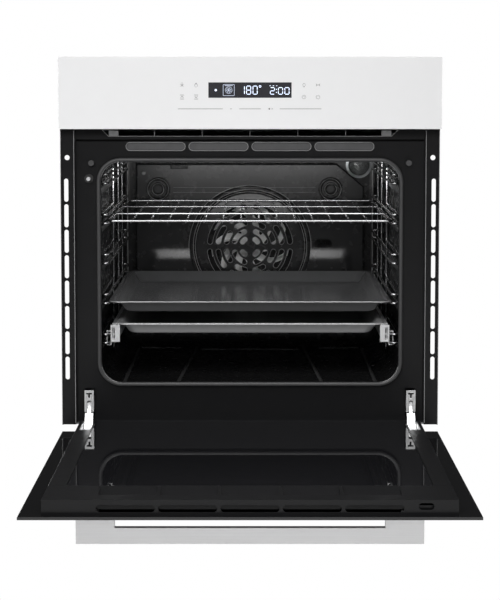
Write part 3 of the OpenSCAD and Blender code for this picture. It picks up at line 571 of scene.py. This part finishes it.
def make_cavity_beads():
    """Pressed beads in the side walls, and the raised outlines in the floor."""
    shapes = []
    for side in (-1, 1):
        for z in range(110, 367, 64):
            shapes.append(bead(cab(side * 242, 100, z), cab(side * 242, 405, z), 5, 1.6,
                               Vector((-side, 0, 0))))
        shapes.append(bead(cab(side * 99, 415, 50), cab(side * 119, 70, 50), 3, 1.8, Vector((0, 0, 1))))
        shapes.append(bead(cab(side * 206, 405, 50), cab(side * 206, 90, 50), 3, 1.8, Vector((0, 0, 1))))
        shapes.append(bead(cab(side * 128, 411, 50), cab(side * 198, 411, 50), 3, 1.8, Vector((0, 0, 1))))
    shapes.append(bead(cab(-88, 395, 50), cab(88, 395, 50), 3, 1.8, Vector((0, 0, 1))))
    shapes.append(bead(cab(-105, 86, 50), cab(105, 86, 50), 3, 1.8, Vector((0, 0, 1))))
    # the beads are painted a lighter grey than the cavity enamel, as a dim painted highlight
    add("cavity_beads", joined("cavity_beads", shapes), "oven_body", "cavity_enamel", MATERIALS["bead_painted_highlight"])
    # thin light wires down the rear corners: a painted highlight for the reflection in the corners' fillets
    folds = []
    for side in (-1, 1):
        for inset, y in ((0.9, CAVITY_BACK - BACK_FILLET), (BACK_FILLET - 3, CAVITY_BACK - 1.6)):
            x = side * (CAVITY_X - inset)
            folds.append(([cab(x, y, CAVITY_LOW + 30), cab(x, y, CAVITY_TOP - 30)], 0.9, False))
    wires("cavity_corner_highlights", folds, "oven_body", "cavity_enamel", material=MATERIALS["lip_painted_highlight"])


def make_gasket():
    (x0, _, z0), (x1, y1, z1) = span("door_gasket")
    mid_z, half_x, half_z = (z0 + z1) / 2, (x1 - x0) / 2, (z1 - z0) / 2
    tube, lip = 3.2, 1.2

    def ring(inset, y, radius):
        return [cab(u, y, mid_z + v) for u, v in rounded_ring(half_x - inset, half_z - inset, radius, 14)]

    wires("gasket_tube", [(ring(tube + 0.1, y1 - tube - 0.9, 35), tube, True)], "oven_body", "seal_rubber",
          replaces=("door_gasket",))
    # the gasket's lips are painted a lighter grey than the rubber, as painted highlights
    edges = [(ring(6.4 - lip, y1 - 4.6, 33.5), lip, True), (ring(lip, y1 - 1.4, 37.5), 0.7, True)]
    wires("gasket_highlight_lips", edges, "oven_body", "seal_rubber", material=MATERIALS["lip_painted_highlight"])


# ---------- rear baffle ----------
BAFFLE_Y, BAFFLE_X, BAFFLE_LOW, BAFFLE_TOP = 448, 211.5, 70, 389
BAFFLE_DEPTH = 36
DISH_R, DOME_R, FAN_Z = 113, 98, 235


def ramp(value, low, high):
    t = min(1, max(0, (value - low) / (high - low)))
    return t * t * (3 - 2 * t)


def baffle_relief(x, z):
    """How far the pressed panel stands ahead of its plane, in millimetres."""
    return 5.5 * ramp(-z, -236, -206) * ramp(-abs(x), -196, -172)


def baffle_outline(inset):
    side, right_z, top_x = BAFFLE_X - inset, 346.5 - inset * 0.4, 161.6 - inset * 0.4
    return [(-side, BAFFLE_LOW + inset), (side, BAFFLE_LOW + inset), (side, right_z),
            (top_x, BAFFLE_TOP - inset), (-side, BAFFLE_TOP - inset)]


def arc_slot(radius, a0, a1, width, steps=10):
    """Outline of a slot along an arc, with round ends."""
    def at(r, a):
        return (r * math.cos(math.radians(a)), r * math.sin(math.radians(a)))

    outline = [at(radius + width / 2, a0 + (a1 - a0) * k / steps) for k in range(steps + 1)]
    cx, cy = at(radius, a1)
    outline += [(cx + width / 2 * math.cos(math.radians(a1 + 180 * k / 8)),
                 cy + width / 2 * math.sin(math.radians(a1 + 180 * k / 8))) for k in range(1, 8)]
    outline += [at(radius - width / 2, a1 + (a0 - a1) * k / steps) for k in range(steps + 1)]
    cx, cy = at(radius, a0)
    outline += [(cx + width / 2 * math.cos(math.radians(a0 + 180 + 180 * k / 8)),
                 cy + width / 2 * math.sin(math.radians(a0 + 180 + 180 * k / 8))) for k in range(1, 8)]
    return outline


BOSS_XS, BOSS_Z = (-171, 150), 342


# radius, first and last angle of each grille slot of one quarter, and its width
GRILLE_SLOTS = [(16.6, 34, 56, 10), (30, 20, 70, 10), (44.5, 12, 34, 10), (44.5, 57, 78, 10),
                (59.5, 9, 36, 10),
                (59.5, 55, 81, 10), (75, 7, 39, 10), (75, 52, 83, 10)]


def make_baffle():
    step = 4.0
    columns, rows = round(2 * BAFFLE_X / step), round((BAFFLE_TOP - BAFFLE_LOW) / step)
    xs = [-BAFFLE_X + 2 * BAFFLE_X * i / columns for i in range(columns + 1)]
    zs = [BAFFLE_LOW + (BAFFLE_TOP - BAFFLE_LOW) * j / rows for j in range(rows + 1)]
    rings = [[cab(x, BAFFLE_Y - baffle_relief(x, z), z) for x in xs] for z in zs]
    points, faces = loft(rings, closed=False)
    mesh = mesh_from("baffle_panel", points, faces)
    bm = bmesh.new()
    bm.from_mesh(mesh)
    edge = baffle_outline(2.5)
    for (ax, az), (bx, bz) in zip(edge, edge[1:] + edge[:1]):
        bmesh.ops.bisect_plane(bm, geom=bm.verts[:] + bm.edges[:] + bm.faces[:],
                               plane_co=cab(ax, BAFFLE_Y, az),
                               plane_no=Vector((bz - az, 0, ax - bx)), clear_outer=True)
    bm.to_mesh(mesh)
    bm.free()
    piece = add("baffle_panel", mesh, "oven_body", "cavity_enamel", replaces=("back_baffle",))
    thicken(piece, 1.0, offset=-1.0 if mesh.polygons[0].normal.y < 0 else 1.0)

    def through(outline):
        return prism(outline, BAFFLE_Y - 15, BAFFLE_Y + 10, lambda u, v, w: cab(u, w, v))

    turns = [math.pi * k / 48 for k in range(96)]
    circle = [(DISH_R * math.cos(a), FAN_Z + DISH_R * math.sin(a)) for a in turns]
    hole = [(137 + u, 240.4 + v) for u, v in rounded_ring(15.8, 7.9, 7.8)]
    notch = [(-132 + u, 384.5 + v) for u, v in rounded_ring(16.5, 5, 1.5)]
    bosses = [[(x + u, BOSS_Z + v) for u, v in rounded_ring(12.5, 12.5, 12.4, 8)] for x in BOSS_XS]
    carve(piece, joined("baffle_cuts", [through(o) for o in [circle, hole, notch] + bosses]))

    # rounded edge that turns back towards the rear wall
    rings = []
    for inset, y in ((2.5, 0), (1.2, 0.35), (0.35, 1.2), (0, 2.5), (0, BAFFLE_DEPTH)):
        rings.append([cab(x, BAFFLE_Y + y - (baffle_relief(x, z) if inset == 2.5 else 0), z)
                      for x, z in baffle_outline(inset)])
    points, faces = loft(rings)
    rim = add("baffle_rim", mesh_from("baffle_rim", points, faces), "oven_body", "cavity_enamel")
    thicken(rim, 1.0, offset=0)


def dish_height(r):
    """How far the dished fan cover stands ahead of the panel at radius r."""
    moat = -3.4 * ramp(DISH_R - r, -1, 4) * ramp(r - DOME_R, 0, 8)
    step = 2.2 * ramp(DOME_R + 7 - r, 0, 5)
    dome = 7.6 * (1 - (min(r, DOME_R) / DOME_R) ** 2)
    return moat + step + dome


def make_grille():
    radii = [DISH_R + 1.5 - 0.9 * i for i in range(22)] + [94, 88, 80, 72, 64, 56, 48, 40, 32, 24, 16, 8, 2]
    points, faces = lathe([(r, dish_height(r)) for r in radii], lambda u, v,
                          w: cab(u, BAFFLE_Y - w, FAN_Z + v))
    faces.append(tuple(range(len(points) - 96, len(points))))
    piece = add("fan_grille", mesh_from("fan_grille", points, faces), "oven_body", "cavity_enamel")
    thicken(piece, 1.1, offset=-1.0 if piece.data.polygons[-1].normal.y < 0 else 1.0)
    slots = []
    for i in (1, -1):
        for j in (1, -1):
            for radius, a0, a1, width in GRILLE_SLOTS:
                outline = [(i * u, FAN_Z + j * v) for u, v in arc_slot(radius, a0, a1, width)]
                slots.append(prism(outline, BAFFLE_Y - 20, BAFFLE_Y + 12, lambda u, v, w: cab(u, w, v)))
    carve(piece, joined("grille_slots", slots))


def baffle_circle(x, z, radius, y, steps=72):
    turns = [2 * math.pi * k / steps for k in range(steps)]
    return [cab(x + radius * math.cos(a), y, z + radius * math.sin(a)) for a in turns]


def make_baffle_lips():
    """Turned lips of the grille's slots, the folds round the dish and the bosses, and two fine ridges,
    painted a lighter grey than the enamel as painted highlights.
    """
    lips = []
    for i in (1, -1):
        for j in (1, -1):
            for radius, a0, a1, width in GRILLE_SLOTS:
                path = []
                for u, v in arc_slot(radius, a0, a1, width, 6):
                    path.append(cab(i * u, BAFFLE_Y - dish_height(math.hypot(u, v)) - 0.1, FAN_Z + j * v))
                lips.append((path, 0.42, True))
    for radius in (DISH_R + 1, DISH_R - 7, DOME_R + 4):
        lips.append((baffle_circle(0, FAN_Z, radius, BAFFLE_Y - dish_height(radius) - 0.2), 0.55, True))
    for x in BOSS_XS:
        lips.append((baffle_circle(x, BOSS_Z, 19.5, BAFFLE_Y - 4.2, 40), 0.5, True))
        lips.append((baffle_circle(x, BOSS_Z, 10.8, BAFFLE_Y - 4.3, 32), 0.5, True))
    for z in (345, 336):
        lips.append(([cab(BOSS_XS[0] + 28, BAFFLE_Y - 0.1, z), cab(BOSS_XS[1] - 28, BAFFLE_Y - 0.1, z)],
                     0.28, False))
    wires("baffle_highlight_lips", lips, "oven_body", "cavity_enamel", material=MATERIALS["lip_painted_highlight"])


# ---------- convection fan ----------
FAN_BLADES = 9
FAN_R, HUB_R, FAN_BACK, BLADE_DEPTH = 73.5, 24, 478, 19


def make_fan():
    """A pressed wheel: a spoked plate whose curved blades are folded forwards."""
    def at(radius, angle, y):
        return cab(radius * math.cos(angle), y, FAN_Z + radius * math.sin(angle))

    steps, shapes = 10, []
    for k in range(FAN_BLADES):
        base = 2 * math.pi * k / FAN_BLADES
        spine, edge, fold = [], [], []
        for i in range(steps + 1):
            t = i / steps
            radius = HUB_R - 4 + (FAN_R - HUB_R + 4) * t
            lead = base + 0.55 * t * t
            width = (15 - 5 * t) / radius
            spine.append(at(radius, lead, FAN_BACK - 1))
            edge.append(at(radius, lead - width, FAN_BACK - 0.6))
            reach = BLADE_DEPTH * math.sin(math.pi * min(1, 0.25 + 0.55 * t))
            fold.append(at(radius, lead + 0.1 * t, FAN_BACK - 1 - reach))
        shapes.append(loft([edge, spine, fold], closed=False))
    plate = [(0.01, FAN_BACK - 2.4), (HUB_R - 8, FAN_BACK - 2.4), (HUB_R - 4, FAN_BACK - 1),
             (HUB_R + 3, FAN_BACK - 1)]
    shapes.append(lathe(plate, lambda u, v, w: cab(u, w, FAN_Z + v), 48))
    wheel = add("fan_wheel", joined("fan_wheel", shapes), "convection_fan", "fan_aluminium",
                replaces=("convection_fan",))
    thicken(wheel, 0.9, offset=0)
    hub = [(4.02, FAN_BACK - 18), (9.2, FAN_BACK - 18), (10, FAN_BACK - 17.2), (10, FAN_BACK - 4),
           (11.5, FAN_BACK - 2),
           (4.02, FAN_BACK - 2), (4.02, FAN_BACK - 18)]
    points, faces = lathe(hub, lambda u, v, w: cab(u, w, FAN_Z + v), 40)
    add("fan_hub", mesh_from("fan_hub", points, faces), "convection_fan", "fan_aluminium")


# ---------- control panel ----------
def bar(a, b, half, y, depth=0.12):
    """A flat printed bar from a to b, in millimetres, standing just proud of the plane y."""
    (ax, az), (bx, bz) = a, b
    length = math.hypot(bx - ax, bz - az)
    ux, uz = (bx - ax) / length, (bz - az) / length
    tip = min(half, length / 2)
    outline = [(ax, az), (ax + ux * tip - uz * half, az + uz * tip + ux * half),
               (bx - ux * tip - uz * half, bz - uz * tip + ux * half), (bx, bz),
               (bx - ux * tip + uz * half, bz - uz * tip - ux * half),
               (ax + ux * tip + uz * half, az + uz * tip - ux * half)]
    return prism(outline, y - depth, y - 0.01, lambda u, v, w: cab(u, w, v))


SEGMENTS = {"0": "abcdef", "1": "bc", "2": "abged", "8": "abcdefg"}


def digit(character, x, z, width, height, y):
    """The lit bars of a seven-segment digit."""
    top, mid, low, gap, half = z + height, z + height / 2, z, 0.35, 0.62
    places = {
        "a": ((x + gap, top), (x + width - gap, top)), "g": ((x + gap, mid), (x + width - gap, mid)),
        "d": ((x + gap, low), (x + width - gap, low)), "f": ((x, mid + gap), (x, top - gap)),
        "b": ((x + width, mid + gap), (x + width, top - gap)), "e": ((x, low + gap), (x, mid - gap)),
        "c": ((x + width, low + gap), (x + width, mid - gap)),
    }
    return [bar(*places[s], half, y) for s in SEGMENTS[character]]


def disc(x, z, radius, y, inner=0.0, steps=24, depth=0.12):
    """A printed disc, or a ring if inner is given."""
    turns = [2 * math.pi * k / steps for k in range(steps)]
    outer = [(x + radius * math.cos(a), z + radius * math.sin(a)) for a in turns]
    place = lambda u, v, w: cab(u, w, v)
    if not inner:
        return prism(outer, y - depth, y - 0.01, place)
    hole = [(x + inner * math.cos(a), z + inner * math.sin(a)) for a in turns]
    rings = [[place(u, v, w) for u, v in ring] for ring, w in
             ((outer, y - 0.01), (outer, y - depth), (hole, y - depth), (hole, y - 0.01), (outer, y - 0.01))]
    return loft(rings)


def frame_lines(x, z, half_u, half_v, width, y):
    corners = [(x - half_u, z - half_v), (x + half_u, z - half_v), (x + half_u, z + half_v),
               (x - half_u, z + half_v)]
    return [bar(a, b, width / 2, y) for a, b in zip(corners, corners[1:] + corners[:1])]


def make_display():
    (x0, y, z0), (x1, _, z1) = span("display_window")
    mid = (z0 + z1) / 2
    lit = [disc(-53, mid, 1.8, y)]
    # generic fan symbol in a square
    icon = frame_lines(-33, mid, 8.6, 8.6, 0.7, y)
    icon += [disc(-33, mid, 5.6, y, inner=5.0), disc(-33, mid, 1.4, y)]
    for k in range(8):
        a = math.radians(45 * k)
        icon.append(bar((-33 + 2 * math.cos(a), mid + 2 * math.sin(a)),
                        (-33 + 4.4 * math.cos(a + 0.4), mid + 4.4 * math.sin(a + 0.4)), 0.5, y))
    icon.append(bar((-39.5, mid + 6.9), (-26.5, mid + 6.9), 0.5, y))
    add("display_icon", joined("display_icon", icon), "oven_body", "display_glass", MATERIALS["dim_figures"])
    low, height, width = mid - 6.3, 12.6, 6.6
    for character, x in (("1", -15.2), ("8", -5.4), ("0", 4.6)):
        lit += digit(character, x, low, width, height, y)
    lit.append(disc(15.6, low + height - 0.6, 1.9, y, inner=1.0))
    short = height - 2.4
    for character, x in (("2", 31.4), ("0", 44), ("0", 54)):
        lit += digit(character, x, low, width, short, y)
    lit += [disc(41, low + short / 2 + dz, 0.75, y) for dz in (-2.4, 2.4)]
    lit += [bar((x, low + height + 0.4), (x + 2.6, low + height + 0.4), 0.4, y) for x in (30, 35, 40)]
    add("display_figures", joined("display_figures", lit), "oven_body", "display_glass",
        MATERIALS["lit_figures"])


def ring_arc(x, z, radius, a0, a1, half, y, steps=12):
    """A printed arc, drawn as short bars."""
    turn = [math.radians(a0 + (a1 - a0) * k / steps) for k in range(steps + 1)]
    spots = [(x + radius * math.cos(a), z + radius * math.sin(a)) for a in turn]
    return [bar(a, b, half, y) for a, b in zip(spots, spots[1:])]


TOUCH_XS, TOUCH_HIGH, TOUCH_LOW, SLIDER_Z = (83.6, 105.4), 537.4, 518.7, 500.4


def make_touch_marks():
    (_, y, _), _ = span("panel_glass")
    half, marks = 0.36, []
    inner, outer = TOUCH_XS

    def line(*spots):
        for a, b in zip(spots, spots[1:]):
            marks.append(bar(a, b, half, y))

    # crossed tools and a drop on the upper left
    x, z = -outer, TOUCH_HIGH
    line((x - 2.2, z - 2.6), (x + 2.2, z + 1.6))
    line((x + 2.2, z - 2.6), (x - 2.2, z + 1.6))
    line((x - 1.2, z + 2.9), (x + 1.2, z + 2.9))
    x = -inner
    marks.extend(ring_arc(x, z - 1, 2.2, 160, 380, half, y))
    line((x - 2.1, z - 0.3), (x, z + 3.4), (x + 2.1, z - 0.3))
    # chevrons between rules on the lower left
    for x, rise in ((-outer, 1.5), (-inner, -1.5)):
        z = TOUCH_LOW
        line((x - 3.2, z + 3.1), (x + 3.2, z + 3.1))
        line((x - 3.2, z - 3.1), (x + 3.2, z - 3.1))
        line((x - 2.2, z - rise), (x, z + rise), (x + 2.2, z - rise))
    # lamp and two facing arrows on the upper right
    x, z = inner, TOUCH_HIGH
    marks.extend(ring_arc(x, z + 0.4, 2.1, -60, 240, half, y))
    line((x - 1, z - 1.6), (x - 1, z - 3), (x + 1, z - 3), (x + 1, z - 1.6))
    x = outer
    line((x - 3.2, z + 1.8), (x - 1.2, z), (x - 3.2, z - 1.8))
    line((x + 3.2, z + 1.8), (x + 1.2, z), (x + 3.2, z - 1.8))
    line((x - 1.2, z), (x + 1.2, z))
    # clock and standby on the lower right
    x, z = inner, TOUCH_LOW
    marks.extend(ring_arc(x, z, 2.9, 0, 360, half, y, 20))
    line((x, z + 1.9), (x, z), (x + 1.4, z))
    x = outer
    marks.extend(ring_arc(x, z, 2.9, -240, 60, half, y, 16))
    line((x, z + 3.3), (x, z + 0.6))
    for a, b in ((-112, -42), (-31, -28), (-17, 17), (33, 36), (46, 111)):
        line((a, SLIDER_Z), (b, SLIDER_Z))
    marks.append(disc(30, SLIDER_Z, 1.3, y))
    add("touch_marks", joined("touch_marks", marks), "oven_body", "white_glass", MATERIALS["print_grey"])


# ---------- hinges ----------
SPRING_TURNS = 15


def make_spring(side):
    """The coil in the door's hinge channel, drawn at one fixed length; the real coil shortens as the door
    shuts.
    """
    (_, y0, _), (_, y1, z1) = span("hinge_springs")
    x, radius, wire = 254.5 * side, 4.2, 0.9
    mid_z = z1 - radius - wire
    steps = 16
    path = []
    for i in range(SPRING_TURNS * steps + 1):
        angle = 2 * math.pi * i / steps
        y = y1 - wire - (y1 - y0 - 2 * wire) * i / (SPRING_TURNS * steps)
        path.append(cab(x + radius * math.cos(angle), y, mid_z + radius * math.sin(angle)))
    name = "hinge_spring_" + ("left" if side < 0 else "right")
    piece = wires(name, [(path, wire, False)], "door", "spring_steel",
                  replaces=("hinge_springs",) if side < 0 else ())
    depsgraph = bpy.context.evaluated_depsgraph_get()
    mesh = bpy.data.meshes.new_from_object(piece.evaluated_get(depsgraph))
    bpy.data.objects.remove(piece)
    smooth(mesh)
    piece = add(name, mesh, "door", "spring_steel", replaces=("hinge_springs",) if side < 0 else ())
    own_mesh(piece)


# ---------- casing ----------
def make_casing_beads():
    """Stiffening beads pressed out of the casing's sheets."""
    (x0, y0, z0), (x1, y1, z1) = span("casing_sides")
    shapes = []
    for side in (-1, 1):
        x, out = side * x1, Vector((side, 0, 0))
        for z in (90, 190, 290, 390):
            shapes.append(bead(cab(x, 60, z), cab(x, y1 - 60, z), 7, 1.6, out))
    _, (_, top_y, top_z) = span("casing_top")
    for x in (-190, -130, 130, 190):
        shapes.append(bead(cab(x, 60, top_z), cab(x, top_y - 60, top_z), 7, 1.6, Vector((0, 0, 1))))
    _, (_, back_y, _) = span("casing_back")
    back = back_y - 6.8             # the sheet itself: the motor bulge stands out behind it
    for x in (-200, -150, 150, 200):
        shapes.append(bead(cab(x, back, 110), cab(x, back, 440), 7, 1.6, Vector((0, 1, 0))))
    add("casing_beads", joined("casing_beads", shapes), "oven_body", "galvanised_sheet")


# ---------- folded and turned edges of the front ----------
FLANGE_X, RECESS_X, RECESS_Y = 297.5, 276.5, 9
STEAM_Z, STEAM_PITCH, STEAM_SLOTS = 440.7, 99, 4


def stadium_ring(x, z, half_length, half_width, y):
    return [cab(x + u, y, z + v) for u, v in rounded_ring(half_length, half_width, half_width - 0.05, 8)]


def make_front_edges():
    """Turned lips round the steam slots, and the folds of the front's sheet, painted a lighter grey than the
    black enamel as painted highlights.
    """
    lips = []
    for i in range(STEAM_SLOTS):
        x = (i - (STEAM_SLOTS - 1) / 2) * STEAM_PITCH
        lips.append((stadium_ring(x, STEAM_Z, 46.6, 6.6, RECESS_Y + 0.1), 0.45, True))
    trim_y, low, high = 1.9, 457, 467
    corners = [(-232, high), (-222, low), (222, low), (232, high)]
    lips.append(([cab(x, trim_y + 0.5, z) for x, z in corners], 0.4, False))
    for side in (-1, 1):
        fold = side * (RECESS_X - 0.3)
        lips.append(([cab(fold, 0.2, 2), cab(fold, 0.2, 466)], 0.5, False))
        outer = side * (FLANGE_X - 0.6)
        lips.append(([cab(outer, -2.0, 1), cab(outer, -2.0, 466)], 0.45, False))
    wires("front_highlight_lips", lips, "oven_body", "black_enamel", material=MATERIALS["lip_painted_highlight"])


def make_outlet_ribs():
    """Front edges of the outlet's ribs, and the blocks at its two ends, painted a lighter grey than the black
    enamel as painted highlights.
    """
    ribs = [([cab(75 * i, 3.4, 457.5), cab(75 * i, 3.4, 466.5)], 0.55, False) for i in range(-2, 3)]
    wires("outlet_rib_highlights", ribs, "oven_body", "black_enamel", material=MATERIALS["lip_painted_highlight"])
    shapes = []
    for side in (-1, 1):
        outline = [(side * x, z) for x, z in ((206.4, 457.6), (221, 457.6), (221.6, 459), (221.6, 465.8),
                                              (206.4, 465.8))]
        shapes.append(prism(outline, 4.2, 5.0, lambda u, v, w: cab(u, w, v)))
    add("outlet_end_highlights", joined("outlet_end_highlights", shapes), "oven_body", "black_enamel", MATERIALS["lip_painted_highlight"])


def make_trim_shadow_strip():
    """Black strip under the outlet trim, shaped as a foam seal: its black is a painted shadow for the dark
    gap under the trim.
    """
    (x0, y0, z0), (x1, y1, _) = span("air_outlet_trim")
    ring = [(y0 + 4.6, z0 - 2.6), (y0 + 4, z0 - 1.4), (y0 + 4.6, z0 - 0.1), (y1 - 0.3, z0 - 0.1),
            (y1 - 0.3, z0 - 2.6)]
    points, faces = prism(ring, x0 + 2, x1 - 2, lambda u, v, w: cab(w, u, v))
    add("trim_shadow_strip", mesh_from("trim_shadow_strip", points, faces), "oven_body", "seal_rubber",
        MATERIALS["shadow_strip_black"])


def make_panel_edge():
    """The ground edge of the control panel's glass."""
    (x0, y0, z0), (x1, y1, z1) = span("panel_glass")
    mid_x, mid_z, half = (x0 + x1) / 2, (z0 + z1) / 2, 0.7
    loop = [cab(mid_x + u, y0 + half, mid_z + v)
            for u, v in rounded_ring((x1 - x0) / 2 - half, (z1 - z0) / 2 - half, 1.2, 4)]
    wires("panel_glass_edge", [(loop, half, True)], "oven_body", "white_glass",
          material=MATERIALS["glass_edge"])


def make_vent_lining():
    """The dark wall behind the door's end slots, which the air passes on its way out."""
    y = -12.6
    shapes = [prism([(-206, y), (240, y), (240, y + 5.2), (-206, y + 5.2)], 444.5, 446,
                    lambda u, v, w: shut(u, v, w))]
    add("vent_lining", joined("vent_lining", shapes), "door", "black_enamel")


SOFT_EDGES = {
    "panel_glass": 0.4, "panel_carrier": 0.4, "door_front_glass": 0.5,
    "door_inner_glasses": 0.4, "door_frame": 0.35, "handle": 0.5, "runner_rails": 0.25,
    "runner_middles": 0.25, "runner_sliders": 0.25, "lock_clip_left": 0.2, "lock_clip_right": 0.2,
    "hinge_arms": 0.3, "hinge_channels": 0.3, "hinge_links": 0.3, "terminal_block": 0.4,
}


make_camera()
make_world(1.0, 0.035)
make_floor(cad_box[0].z - 0.45)
make_light("roof", (0, -1.2, 3.2), (0, -0.6, 0), (3, 2), 45)
make_light("key", (-0.3, -2.9, 1.75), (0, 0, 0.3), (2.4, 0.9), 57)
make_light("left", (-2.4, -1.7, 1.3), (0, 0, 0.3), (0.8, 1.6), 14)
make_light("low", (0, -2.3, -0.35), (0, 0, 0.2), (1.8, 0.25), 1.2)
make_light("low_right", (0.9, -2.1, 0.5), (0.7, -2.1, -0.45), (0.5, 0.5), 3.0)
make_light("rear_left", (-2.2, 2.8, 0.65), (0, 0.2, 0.3), (1.8, 0.9), 45)
make_light("rear_right", (2.6, 1.6, 0.6), (0, 0.2, 0.3), (1.6, 0.8), 32)
make_light("cavity_front", (0, FACE_Y + 0.05, 0.39), (0, 0.25, 0.2), (0.4, 0.05), 0.55)
make_light("tray_fill", (0, FACE_Y - 0.55, 0.16), (0, FACE_Y + 0.05, 0.14), (0.5, 0.06), 0.95, mirrored=False)
bpy.context.scene.view_settings.view_transform = "Standard"

paint_nodes()
for name, width in SOFT_EDGES.items():
    soften(name, width)
make_shelf()
make_rack(-1, "side_rack_left")
make_rack(1, "side_rack_right")
make_tray("upper_tray", "upper_tray", "tray_enamel_dark")
make_tray("lower_tray", "tray_carrier", "tray_enamel_grey")
make_liner()
make_cavity_beads()
make_gasket()
make_baffle()
make_grille()
make_baffle_lips()
make_fan()
make_display()
make_touch_marks()
for side in (-1, 1):
    make_spring(side)
make_casing_beads()
make_front_edges()
make_outlet_ribs()
make_trim_shadow_strip()
make_panel_edge()
make_vent_lining()
